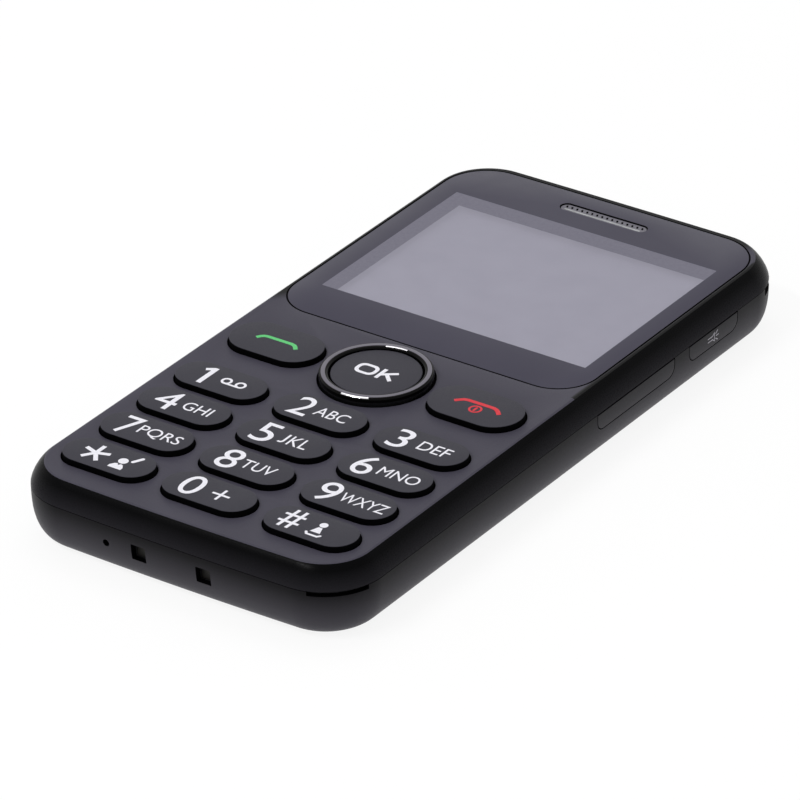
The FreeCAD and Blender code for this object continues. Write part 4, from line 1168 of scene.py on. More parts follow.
def skin_solid(name: str, skin: Skin, bands: int = SKIN_BANDS) -> bpy.types.Mesh:
    """Closed solid inside a curved surface.

    Args:
        name: Name of the mesh.
        skin: The surface.
        bands: Bands between side and flat.

    Returns:
        The mesh.
    """
    levels = [(skin.plan.points(inset), z) for z, inset in skin.stations(bands)]
    maker = MeshMaker()
    maker.stack(levels if skin.depth > 0 else levels[::-1])
    return maker.mesh(name)


def inner_skin(wall: float) -> Skin:
    """The back's surface moved inwards.

    Args:
        wall: Thickness of the wall.

    Returns:
        The inner surface.
    """
    plan = RoundPlan(BODY.half_w - wall, BODY.y_low + wall, BODY.y_high - wall, BODY.r_low - wall,
                     BODY.r_high - wall, BODY.bow_low, BODY.bow_high, steps=BODY.steps)
    return Skin(plan, PARTING_Z, wall - PARTING_Z, BACK_SKIN.run - wall, BACK_SKIN.power)


def flared(maker: MeshMaker, outline: Outline, z0: float, mouth: float, z1: float,
           lip: float) -> None:
    """Adds a cutting tool whose opening has a rounded lip.

    Args:
        maker: Mesh to add to.
        outline: Outline of the opening.
        z0: Far end of the tool.
        mouth: Level of the surface that the opening breaks.
        z1: End of the tool beyond the surface.
        lip: Radius of the lip.
    """
    levels = [(outline.points(0.0), z0), (outline.points(0.0), mouth - lip)]
    for inset, drop in quarter_round(lip, LIP_STEPS):
        levels.append((outline.points(-inset), mouth - drop))
    levels.append((outline.points(-lip), z1))
    maker.stack(levels)


# ---- front housing ----
@dataclass
class FrontHousing:
    """Moulded front shell with its key openings, window ledge, ribs and screw bosses."""

    finishes: Finishes
    ceiling_z: float = FACE_Z - 1.2
    ledge_top_z: float = FACE_Z - 1.0
    ledge_low_z: float = FACE_Z - 1.8
    ledge_start_y: float = LENS.y_low - 1.2
    cavity_inset: float = 2.82
    rebate_inset: float = 1.02
    rebate_top_z: float = PARTING_Z + 0.7
    under_z: float = PARTING_Z - 1.0            # cutting tools start here, below the shell
    over_z: float = FACE_Z + 1.0                # and end here, above its face
    key_gap: float = 0.18
    ring_gap: float = 0.25
    lens_gap: float = 0.12
    lip: float = 0.12
    painted_highlight_depth: float = 0.17          # how far the face's lighter colour runs down the rim: a painted highlight along the crease
    display_hole: Box = (-27.0, 27.0, 9.45, 52.65)
    ear_port: Box = (-6.5, 6.5, 54.45, 55.65)
    bosses: tuple[Point, ...] = ((-23.5, 55.75), (23.5, 55.75), (-20.5, -58.8), (20.5, -58.8))
    boss_r: float = 1.6
    boss_low_z: float = FACE_Z - 3.75
    pilot_r: float = 0.65
    pilot_z: Point = (FACE_Z - 4.7, FACE_Z - 2.05)
    opening_low_z: float = FACE_Z - 3.7
    ledge_hole_low_z: float = FACE_Z - 2.7
    root: float = 0.3                           # how far bosses and ribs run into the ceiling
    rib_rows: tuple[float, ...] = (-28.75, -38.35, -47.95)
    rib: tuple[float, float, float] = (27.02, 0.7, 0.9)

    def build(self, keys: Sequence["PushKey"], ring: Circle) -> bpy.types.Object:
        """Makes the shell.

        Args:
            keys: Keys that show through it.
            ring: Outline of the navigation ring.

        Returns:
            The piece.
        """
        mesh = skin_solid("front_shell", FRONT_SKIN)
        for tool in (self.rebate(), self.low_room(), self.keypad_room()):
            mesh = joined(mesh, tool, Join.CUT)
        mesh = joined(mesh, self.stiffeners(), Join.ADD)
        mesh = joined(mesh, self.openings(keys, ring), Join.CUT)
        dress_normals(mesh, [FRONT_SKIN])
        self.mark_rim(mesh)
        shell = new_object("front_shell", mesh,
                           self.finishes.several("housing_plastic", "rim_plastic", "key_wall"))
        place(shell, "handset", "housing_plastic", ["front_housing"])
        return shell

    def mark_rim(self, mesh: bpy.types.Mesh) -> None:
        """Paints shade on the rim round the flat face and on the walls of the openings.

        Args:
            mesh: The shell's mesh.
        """
        for polygon in mesh.polygons:
            x, y, z = polygon.center / MM
            _, outward = BODY.locate(x, y)
            outside = polygon.normal.x * outward.x + polygon.normal.y * outward.y > 0.02
            # Near the face's edge the outside keeps the face's colour; below it the rim and the
            # opening walls get painted shade.
            if z > FACE_Z - (self.painted_highlight_depth if outside else 0.02):
                polygon.material_index = 0
            else:
                polygon.material_index = 1 if outside else 2

    def rebate(self) -> bpy.types.Mesh:
        """Step that the chassis wall stands in.

        Returns:
            The cutting tool.
        """
        maker = MeshMaker()
        maker.prism(BODY.points(self.rebate_inset), self.under_z, self.rebate_top_z)
        return maker.mesh("rebate")

    def low_room(self) -> bpy.types.Mesh:
        """Hollow below the window's ledge.

        Returns:
            The cutting tool.
        """
        maker = MeshMaker()
        maker.prism(BODY.points(self.cavity_inset), self.under_z, self.ledge_low_z)
        return maker.mesh("low_room")

    def keypad_room(self) -> bpy.types.Mesh:
        """Hollow under the key plate.

        Returns:
            The cutting tool.
        """
        maker = MeshMaker()
        maker.prism(BODY.points(self.cavity_inset), self.ledge_low_z - 0.5, self.ceiling_z)
        stop = MeshMaker()
        stop.prism(Block(*OUTSIDE[:3], self.ledge_start_y).points(), 0.0, 20.0)
        return joined(maker.mesh("keypad_room"), stop.mesh("stop"), Join.MEET)

    def stiffeners(self) -> bpy.types.Mesh:
        """Screw bosses and the ribs between the rows of keys.

        Returns:
            The mesh to add.
        """
        maker = MeshMaker()
        for x, y in self.bosses:
            maker.prism(Circle(x, y, self.boss_r).points(), self.boss_low_z,
                        self.ceiling_z + self.root)
        half, thick, deep = self.rib
        for y in self.rib_rows:
            maker.prism(Block(-half, half, y - thick / 2, y + thick / 2, 0.1).points(),
                        self.ceiling_z - deep, self.ceiling_z + self.root)
        return maker.mesh("stiffeners")

    def openings(self, keys: Sequence["PushKey"], ring: Circle) -> bpy.types.Mesh:
        """Every opening in the face, and the screw pilots.

        Args:
            keys: Keys that show through it.
            ring: Outline of the navigation ring.

        Returns:
            The cutting tool.
        """
        maker = MeshMaker()
        for key in keys:
            hole = Stadium(key.cx, key.cy, key.length + 2 * self.key_gap,
                           key.width + 2 * self.key_gap)
            flared(maker, hole, self.opening_low_z, FACE_Z, self.over_z, self.lip)
        flared(maker, Circle(ring.cx, ring.cy, ring.r + self.ring_gap, 96), self.opening_low_z,
               FACE_Z, self.over_z, self.lip)
        recess = RoundPlan(LENS.half_w + self.lens_gap, LENS.y_low - self.lens_gap,
                           LENS.y_high + self.lens_gap, LENS.r_low + self.lens_gap,
                           LENS.r_high + self.lens_gap, 0.0, LENS.bow_high, steps=LENS.steps)
        flared(maker, recess, self.ledge_top_z, FACE_Z, self.over_z, self.lip / 2)
        for x, y in self.bosses:
            maker.prism(Circle(x, y, self.pilot_r, 24).points(), *self.pilot_z)
        ledge = MeshMaker()
        for hole in (self.display_hole, self.ear_port):
            ledge.prism(Block(*hole, r=0.3).points(), self.ledge_hole_low_z,
                        self.ledge_top_z + 0.2)
        return joined(maker.mesh("openings"), ledge.mesh("ledge_holes"), Join.ADD)


# ---- window and display ----
@dataclass
class Window:
    """Front window with its printed border, and the display that shows through it."""

    finishes: Finishes
    thickness: float = 0.9
    edge: float = 0.16
    slot: Stadium = Stadium(0.18, 54.98, 16.3, 2.15)
    frame_line: Box = (-24.9, 25.4, 11.4, 49.45)
    clear: Box = (-21.9, 25.35, 11.45, 45.75)
    clear_below: Box = (-23.4, 25.1, 12.2, 47.6)
    glass_edge: float = 0.08
    seal_width: float = 0.2

    def build(self) -> list[bpy.types.Object]:
        """Makes the window and the display.

        Returns:
            The two pieces.
        """
        return [self.panel(), self.display()]

    def panel(self) -> bpy.types.Object:
        """Acrylic panel: printed round the edge, clear over the display.

        Returns:
            The piece.
        """
        maker = MeshMaker()
        low_z = FACE_Z - self.thickness
        outside = [maker.ring(LENS.points(), low_z), maker.ring(LENS.points(), FACE_Z - self.edge),
                   maker.ring(LENS.points(self.edge * 0.3), FACE_Z - self.edge * 0.3),
                   maker.ring(LENS.points(self.edge), FACE_Z)]
        # Slot 3 paints the window's outer edge and the earpiece slot's walls black as painted
        # shade.
        maker.loft(outside, slot=3)
        holes = [maker.ring(self.slot.points(-self.edge), FACE_Z),
                 maker.ring(self.slot.points(), FACE_Z - self.edge),
                 maker.ring(self.slot.points(), low_z)]
        maker.loft(holes, slot=3)
        frame_ring = maker.ring(Block(*self.frame_line, r=0.15).points(), FACE_Z)
        upper = maker.ring(Block(*self.clear, r=0.05).points(), FACE_Z)
        lower = maker.ring(Block(*self.clear_below, r=0.05).points(), low_z)
        maker.cap(outside[-1], [holes[0], frame_ring])
        maker.cap(outside[0], [holes[-1], lower], up=False)
        maker.cap(frame_ring, [upper], slot=2)
        maker.cap(upper, slot=1)
        maker.cap(lower, up=False, slot=1)
        mesh = maker.mesh("window_panel")
        dress_normals(mesh, [], 25.0)
        panel = new_object(
            "window_panel", mesh,
            self.finishes.several("lens_plastic", "clear_pane", "display_seal", "key_wall"))
        place(panel, "handset", "lens_plastic", ["display_lens"])
        return panel

    def display(self) -> bpy.types.Object:
        """Display glass under its polariser, with a narrow edge of seal.

        Returns:
            The piece.
        """
        low, high = (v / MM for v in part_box("lcd_panel"))
        maker = MeshMaker()
        outer = Block(low.x, high.x, low.y, high.y, 0.2)
        edge = self.glass_edge
        rings = [maker.ring(outer.points(), low.z), maker.ring(outer.points(), high.z - edge),
                 maker.ring(outer.points(edge), high.z)]
        maker.loft(rings, slot=1)
        maker.cap(rings[0], up=False, slot=1)
        live = maker.ring(outer.points(self.seal_width), high.z)
        maker.cap(rings[-1], [live], slot=1)
        maker.cap(live)
        mesh = maker.mesh("display_glass")
        dress_normals(mesh, [], 25.0)
        glass = new_object("display_glass", mesh,
                           self.finishes.several("lcd_glass", "display_seal"))
        place(glass, "handset", "lcd_glass", ["lcd_panel"])
        return glass


# ---- earpiece grille ----
class RowPattern:
    """Geometry Nodes tree that repeats one small mesh along a row."""

    SOCKETS: tuple[tuple[str, str], ...] = (
        ("Geometry", "NodeSocketGeometry"), ("Count", "NodeSocketInt"),
        ("Start", "NodeSocketVector"), ("Pitch", "NodeSocketVector"),
        ("Lean", "NodeSocketFloat"), ("Play", "NodeSocketFloat"), ("Seed", "NodeSocketInt"),
        ("Material", "NodeSocketMaterial"))

    def __init__(self, name: str) -> None:
        """Builds the tree.

        Args:
            name: Its name.
        """
        self.tree = bpy.data.node_groups.new(name, "GeometryNodeTree")
        for label, kind in self.SOCKETS:
            self.tree.interface.new_socket(name=label, in_out="INPUT", socket_type=kind)
        self.tree.interface.new_socket(name="Geometry", in_out="OUTPUT",
                                       socket_type="NodeSocketGeometry")
        given = add(self.tree, "NodeGroupInput").outputs
        line = add(self.tree, "GeometryNodeMeshLine", {"mode": "OFFSET"}, Count=given["Count"],
                   Start_Location=given["Start"], Offset=given["Pitch"])
        play = add(self.tree, "FunctionNodeRandomValue", {"data_type": "FLOAT"}, in2=-1.0,
                   in3=1.0, Seed=given["Seed"])
        turn = add(self.tree, "ShaderNodeMath", {"operation": "MULTIPLY_ADD"}, in0=play.outputs[1],
                   in1=given["Play"], in2=given["Lean"])
        about_z = add(self.tree, "ShaderNodeCombineXYZ", None, Z=turn.outputs[0])
        copies = add(self.tree, "GeometryNodeInstanceOnPoints", None, Points=line.outputs["Mesh"],
                     Instance=given["Geometry"], Rotation=about_z.outputs[0])
        real = add(self.tree, "GeometryNodeRealizeInstances", None,
                   Geometry=copies.outputs["Instances"])
        dressed = add(self.tree, "GeometryNodeSetMaterial", None, Geometry=real.outputs[0],
                      Material=given["Material"])
        out = add(self.tree, "NodeGroupOutput")
        self.tree.links.new(dressed.outputs[0], out.inputs["Geometry"])

    def baked(self, mesh: bpy.types.Mesh, values: dict[str, object]) -> bpy.types.Mesh:
        """Runs the tree on a mesh.

        Args:
            mesh: The small mesh, about its own origin.
            values: Value of each named input.

        Returns:
            A plain mesh of all the copies.
        """
        carrier = bpy.data.objects.new(mesh.name, mesh)
        bpy.context.scene.collection.objects.link(carrier)
        modifier = carrier.modifiers.new("row", "NODES")
        modifier.node_group = self.tree
        for item in self.tree.interface.items_tree:
            if item.in_out == "INPUT" and item.name in values:
                modifier[item.identifier] = values[item.name]
        made = bpy.data.meshes.new_from_object(
            carrier.evaluated_get(bpy.context.evaluated_depsgraph_get()))
        bpy.data.objects.remove(carrier)
        bpy.data.meshes.remove(mesh)
        return made


@dataclass
class EarpieceGrille:
    """Pressed grille behind the earpiece slot: oblique piercings drawn in painted shade black, and
    a bright lower bead.
    """

    finishes: Finishes
    plate: Stadium = Stadium(0.18, 54.98, 16.2, 2.05)
    level: float = FACE_Z - 0.2
    thickness: float = 0.15
    pitch: float = 0.97
    count: int = 16
    piercing: tuple[float, float] = (0.72, 0.34)
    piercing_y: float = 55.3
    lean: float = 118.0
    bead: Box = (-7.1, 7.5, 54.28, 54.68)

    def build(self) -> list[bpy.types.Object]:
        """Makes the plate, its bead and the piercings.

        Returns:
            The three pieces.
        """
        plate = MeshMaker()
        plate.prism(self.plate.points(), self.level - self.thickness, self.level)
        bead = MeshMaker()
        outline = Block(*self.bead, r=0.2)
        bead.stack([(outline.points(), self.level - 0.02), (outline.points(), self.level + 0.03),
                    (outline.points(0.08), self.level + 0.06)])
        pieces = [("grille_plate", plate.mesh("grille_plate"), "grille_paint"),
                  ("grille_bead", bead.mesh("grille_bead"), "receiver_metal"),
                  ("grille_piercings", self.piercings(), "key_wall")]
        made = []
        for name, mesh, slot in pieces:
            dress_normals(mesh, [], 25.0)
            made.append(new_object(name, mesh, [self.finishes[slot]]))
            place(made[-1], "handset", "black_mesh")
        return made

    def piercings(self) -> bpy.types.Mesh:
        """Row of slanting piercings, drawn as thin black patches: painted shade of the holes.

        Returns:
            The mesh of the row.
        """
        one = MeshMaker()
        one.prism(Stadium(0.0, 0.0, *self.piercing, 5).points(), -0.01, 0.012)
        start = self.plate.cx - self.pitch * (self.count - 1) / 2
        return RowPattern("piercing_row").baked(one.mesh("piercing"), {
            "Count": self.count, "Start": (start * MM, self.piercing_y * MM, self.level * MM),
            "Pitch": (self.pitch * MM, 0.0, 0.0), "Lean": math.radians(self.lean),
            "Play": math.radians(2.0), "Seed": 7, "Material": self.finishes["key_wall"]})


# ---- keys ----
@dataclass
class PushKey:
    """Stadium key: cap, under-plate flange and plunger, in the place of its CAD node."""

    node: str
    flange: float = 0.45
    flange_top_z: float = FACE_Z - 1.25
    flange_t: float = 0.5
    flange_corner: float = 2.4
    plunger_half: float = 1.4
    root: float = 0.1               # how far the cap and the plunger run into the flange
    edge: float = 0.1
    draft: float = 0.08

    def __post_init__(self) -> None:
        """Takes its place and size from the CAD node."""
        low, high = (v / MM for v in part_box(self.node))
        self.low_z, self.top_z = low.z, high.z
        self.cx, self.cy = (low.x + high.x) / 2, (low.y + high.y) / 2
        self.length = high.x - low.x - 2 * self.flange
        self.width = high.y - low.y - 2 * self.flange

    def outline(self) -> Stadium:
        """Outline of the cap."""
        return Stadium(self.cx, self.cy, self.length, self.width)

    def build(self, finish: bpy.types.Material, wall: bpy.types.Material) -> bpy.types.Object:
        """Makes the key.

        Args:
            finish: Material of the cap's top.
            wall: Painted shade black for the cap's side, flange and plunger, down in the gap.

        Returns:
            The piece.
        """
        maker = MeshMaker()
        top = self.flange_top_z
        outline = self.outline()
        rings = [maker.ring(outline.points(), top - self.root),
                 maker.ring(outline.points(self.draft), self.top_z - self.edge)]
        for inset, drop in quarter_round(self.edge, KEY_EDGE_STEPS):
            rings.append(maker.ring(outline.points(self.draft + inset), self.top_z - drop))
        maker.loft(rings[:3], slot=1)
        maker.loft(rings[2:])
        maker.cap(rings[0], up=False, slot=1)
        maker.cap(rings[-1])
        grow = self.flange
        maker.prism(Block(self.cx - self.length / 2 - grow, self.cx + self.length / 2 + grow,
                          self.cy - self.width / 2 - grow, self.cy + self.width / 2 + grow,
                          self.flange_corner).points(), top - self.flange_t, top, 1)
        half = self.plunger_half
        maker.prism(Block(self.cx - half, self.cx + half, self.cy - half, self.cy + half,
                          0.2).points(), self.low_z, top - self.flange_t + self.root, 1)
        mesh = maker.mesh("cap_" + self.node)
        dress_normals(mesh, [], 40.0)
        cap = new_object("cap_" + self.node, mesh, [finish, wall])
        place(cap, self.node, "key_plastic", [self.node])
        return cap


class Ink(Enum):
    """Ink colours of the legends, by finish."""

    WHITE = "white_print"
    GREEN = "green_print"
    RED = "red_print"
    GREY = "grey_print"


def stroke(points: Sequence[Point], width: float, rounded: bool = True) -> list[Point]:
    """Outline of a pen stroke.

    Args:
        points: The pen's way.
        width: Width of the line.
        rounded: True for round ends.

    Returns:
        A closed outline, counter-clockwise.
    """
    way = [Vector(p) for p in points]
    left: list[Point] = []
    right: list[Point] = []
    for i, here in enumerate(way):
        before = (here - way[i - 1]).normalized() if i else (way[1] - here).normalized()
        after = (way[i + 1] - here).normalized() if i + 1 < len(way) else before
        across = Vector((-before.y - after.y, before.x + after.x)).normalized()
        share = max(0.5, across.dot(Vector((-before.y, before.x))))
        left.append(tuple(here + across * (width / 2 / share)))
        right.append(tuple(here - across * (width / 2 / share)))
    if not rounded:
        return right + left[::-1]
    ends = []
    for tip, towards in ((way[-1], way[-1] - way[-2]), (way[0], way[0] - way[1])):
        turn = math.atan2(towards.y, towards.x)
        ends.append(arc(tip.x, tip.y, width / 2, turn - math.pi / 2, turn + math.pi / 2, 6)[1:-1])
    return right + ends[0] + left[::-1] + ends[1]


class InkWork:
    """Flat ink laid on a surface, built round a place."""

    def __init__(self, cx: float, cy: float, level: float, thickness: float = 0.016,
                 turn: Optional[Matrix] = None) -> None:
        """Starts a legend.

        Args:
            cx, cy: Its place in the surface's plane.
            level: Level of the surface.
            thickness: How far the ink stands above the surface.
            turn: Turns the surface's plane into place.
        """
        self.cx, self.cy = cx, cy
        self.low, self.high = level - 0.01, level + thickness
        self.turn = turn
        self.letters = MeshMaker(turn)
        self.strokes: list[bpy.types.Mesh] = []

    def moved(self, points: Iterable[Point]) -> list[Point]:
        """Points moved to the legend's place."""
        return [(self.cx + x, self.cy + y) for x, y in points]

    def patch(self, outline: Sequence[Point]) -> None:
        """Adds a filled shape.

        Args:
            outline: Points from the legend's place.
        """
        maker = MeshMaker(self.turn)
        maker.prism(self.moved(outline), self.low, self.high)
        self.strokes.append(maker.mesh("stroke"))

    def line(self, points: Sequence[Point], width: float, rounded: bool = True) -> None:
        """Adds a pen stroke."""
        self.patch(stroke(points, width, rounded))

    def band(self, outer: Sequence[Point], inner: Sequence[Point]) -> None:
        """Adds a shape with a hole.

        Args:
            outer, inner: Outlines from the legend's place.
        """
        maker = MeshMaker(self.turn)
        rings = [[maker.ring(self.moved(loop), z) for z in (self.low, self.high)]
                 for loop in (outer, inner)]
        maker.strip(*rings[0])
        maker.strip(rings[1][1], rings[1][0])
        maker.cap(rings[0][1], [rings[1][1]])
        maker.cap(rings[0][0], [rings[1][0]], up=False)
        self.strokes.append(maker.mesh("band"))

    def circle(self, x: float, y: float, r: float, width: float) -> None:
        """Adds a ring of ink."""
        self.band(Circle(x, y, r, 28).points(), Circle(x, y, r - width, 28).points())

    def text(self, words: str, box: Box) -> None:
        """Adds letters stretched to a box.

        Args:
            words: The letters.
            box: Left, right, low and high edges from the legend's place.
        """
        curve = bpy.data.curves.new("letters", "FONT")
        curve.body, curve.extrude, curve.resolution_u = words, 0.1, 5
        carrier = bpy.data.objects.new("letters", curve)
        bpy.context.scene.collection.objects.link(carrier)
        flat = bpy.data.meshes.new_from_object(
            carrier.evaluated_get(bpy.context.evaluated_depsgraph_get()))
        xs, ys = ([v.co[axis] for v in flat.vertices] for axis in (0, 1))
        wide = (box[1] - box[0]) / (max(xs) - min(xs))
        tall = (box[3] - box[2]) / (max(ys) - min(ys))
        numbers = []
        for vertex in flat.vertices:
            spot = (self.cx + box[0] + (vertex.co.x - min(xs)) * wide,
                    self.cy + box[2] + (vertex.co.y - min(ys)) * tall)
            numbers += self.letters.ring([spot], self.high if vertex.co.z > 0 else self.low)
        for polygon in flat.polygons:
            self.letters.face([numbers[v] for v in polygon.vertices])
        bpy.data.objects.remove(carrier)
        bpy.data.curves.remove(curve)
        bpy.data.meshes.remove(flat)

    def build(self, name: str, body: str, ink: Ink, finishes: Finishes) -> bpy.types.Object:
        """Makes the legend.

        Args:
            name: The piece's name.
            body: CAD body it is printed on.
            ink: Its colour.
            finishes: The phone's materials.

        Returns:
            The piece.
        """
        mesh = self.letters.mesh(name)
        if self.strokes:
            fused = self.strokes[0]
            for each in self.strokes[1:]:
                fused = joined(fused, each, Join.ADD)
            both = bmesh.new()
            both.from_mesh(mesh)
            both.from_mesh(fused)
            both.to_mesh(mesh)
            both.free()
            bpy.data.meshes.remove(fused)
        dress_normals(mesh, [], 25.0)
        made = new_object(name, mesh, [finishes[ink.value]])
        place(made, body, "key_plastic")
        return made


@dataclass
class Keypad:
    """The twelve number keys, the call and end keys, and their legends."""

    finishes: Finishes
    digits: dict[str, tuple[str, Box]] = field(default_factory=lambda: {
        "key_2": ("2", (-5.55, -2.15, -2.33, 3.2)),
        "key_3": ("3", (-5.95, -2.7, -2.42, 3.1)),
        "key_4": ("4", (-5.6, -1.7, -2.5, 2.95)),
        "key_5": ("5", (-5.67, -2.1, -2.62, 3.1)),
        "key_6": ("6", (-6.1, -2.55, -2.5, 3.12)),
        "key_7": ("7", (-5.6, -2.3, -2.52, 2.85)),
        "key_8": ("8", (-5.58, -1.95, -2.52, 3.15)),
        "key_9": ("9", (-6.1, -2.55, -2.52, 3.15)),
        "key_0": ("0", (-5.58, -1.95, -2.48, 3.12))})
    letters: dict[str, tuple[str, Box]] = field(default_factory=lambda: {
        "key_2": ("ABC", (-1.42, 4.45, -0.85, 1.72)),
        "key_3": ("DEF", (-0.92, 4.7, -1.0, 1.55)),
        "key_4": ("GHI", (-0.6, 4.52, -0.9, 1.55)),
        "key_6": ("MNO", (-1.62, 5.62, -1.0, 1.5)),
        "key_7": ("PQRS", (-1.95, 5.78, -1.35, 1.53)),
        "key_8": ("TUV", (-1.42, 4.45, -0.9, 1.6)),
        "key_9": ("WXYZ", (-1.95, 6.32, -1.02, 1.53))})
    shift: Point = (0.52, -0.16)
    names: tuple[str, ...] = ("key_1", "key_2", "key_3", "key_4", "key_5", "key_6", "key_7",
                              "key_8", "key_9", "key_star", "key_0", "key_hash", "call_key",
                              "end_key")

    def keys(self) -> list[PushKey]:
        """The keys in their places."""
        return [PushKey(name) for name in self.names]

    def build(self) -> list[bpy.types.Object]:
        """Makes the caps and their legends.

        Returns:
            The pieces.
        """
        made = []
        signs: dict[str, Callable[[InkWork], None]] = {
            "key_1": self.sign_one, "key_5": self.sign_five, "key_star": self.sign_star,
            "key_0": self.sign_zero, "key_hash": self.sign_hash, "call_key": self.sign_call,
            "end_key": self.sign_end}
        inks = {"call_key": Ink.GREEN, "end_key": Ink.RED}
        for key in self.keys():
            made.append(key.build(self.finishes["key_plastic"], self.finishes["key_wall"]))
            ink = inks.get(key.node, Ink.WHITE)
            dx, dy = self.shift if ink is Ink.WHITE else (0.0, 0.0)
            work = InkWork(key.cx + dx, key.cy + dy, key.top_z)
            for table in (self.digits, self.letters):
                if key.node in table:
                    work.text(*table[key.node])
            if key.node in signs:
                signs[key.node](work)
            made.append(work.build("legend_" + key.node, key.node, ink, self.finishes))
        return made

    @staticmethod
    def sign_one(work: InkWork) -> None:
        """Figure one with its flag, and the two loops of the message tape.

        Args:
            work: The legend.
        """
        work.patch([(-3.6, -2.36), (-2.72, -2.36), (-2.72, 2.8), (-3.4, 2.8), (-4.72, 2.0),
                    (-4.4, 1.4), (-3.6, 1.82)])
        for x in (0.43, 3.08):
            work.circle(x, 0.36, 0.96, 0.42)
        work.line([(0.43, -0.39), (3.08, -0.39)], 0.4)

    @staticmethod
    def sign_five(work: InkWork) -> None:
        """Letters J, K and L, the J standing on the line.

        Args:
            work: The legend.
        """
        hook = [(-0.16, 1.62)] + arc(-0.66, -0.47, 0.5, 0.0, -2.2, 6)
        work.line(hook, 0.38, False)
        work.text("KL", (0.6, 4.06, -1.14, 1.63))

    @staticmethod
    def sign_star(work: InkWork) -> None:
        """Star, and a person with a raised mark.

        Args:
            work: The legend.
        """
        cx, cy, reach = -3.08, 0.17, 2.38
        for arm in range(5):
            a = math.pi / 2 + math.tau * arm / 5
            work.line([(cx, cy), (cx + reach * math.cos(a), cy + reach * math.sin(a))], 0.72, False)
        work.patch(Circle(1.98, 0.42, 0.82, 24).points())
        work.patch([(0.75, -2.05), (3.2, -2.05), (3.2, -1.45), (2.75, -0.75), (2.3, -0.55),
                    (1.98, -1.0), (1.66, -0.55), (1.2, -0.75), (0.75, -1.45)])
        work.line([(3.4, 0.95), (4.2, 2.45)], 0.62)

    @staticmethod
    def sign_zero(work: InkWork) -> None:
        """Plus sign.

        Args:
            work: The legend.
        """
        work.line([(0.05, 0.2), (3.2, 0.2)], 0.44, False)
        for first, last in ((0.42, 1.78), (-0.02, -1.38)):
            work.line([(1.62, first), (1.62, last)], 0.44, False)

    @staticmethod
    def sign_hash(work: InkWork) -> None:
        """Hash, and a person over a tray.

        Args:
            work: The legend.
        """
        for x in (-4.85, -3.35):
            work.line([(x - 0.2, -2.35), (x + 0.2, 2.98)], 0.56, False)
        for y in (-0.72, 1.3):
            work.line([(-6.0, y), (-2.32, y)], 0.52, False)
        work.patch(Circle(0.95, 1.3, 0.68, 24).points())
        work.patch([(0.05, -1.1), (1.85, -1.1), (1.3, 0.45), (0.6, 0.45)])
        work.line([(-0.3, -1.55), (0.05, -2.02), (1.95, -2.02), (2.3, -1.6)], 0.42)

    @staticmethod
    def sign_call(work: InkWork) -> None:
        """Lifted handset.

        Args:
            work: The legend.
        """
        way = [(-3.55, -0.52), (-3.1, 0.12), (-2.7, 0.45), (-2.1, 0.6), (2.45, 0.6), (3.1, 0.42),
               (3.5, 0.08), (4.0, -0.52)]
        work.line(way, 0.7, False)

    @staticmethod
    def sign_end(work: InkWork) -> None:
        """Handset laid down, and the on-off mark.

        Args:
            work: The legend.
        """
        way = [(-3.85, -0.32), (-3.1, 0.4), (-2.65, 0.75), (-2.0, 0.9), (2.7, 0.9),
               (3.35, 0.68), (3.85, 0.3), (4.5, -0.42)]
        work.line(way, 0.72, False)
        work.circle(0.46, -0.9, 1.12, 0.34)
        work.line([(0.46, -1.35), (0.46, -0.45)], 0.38)


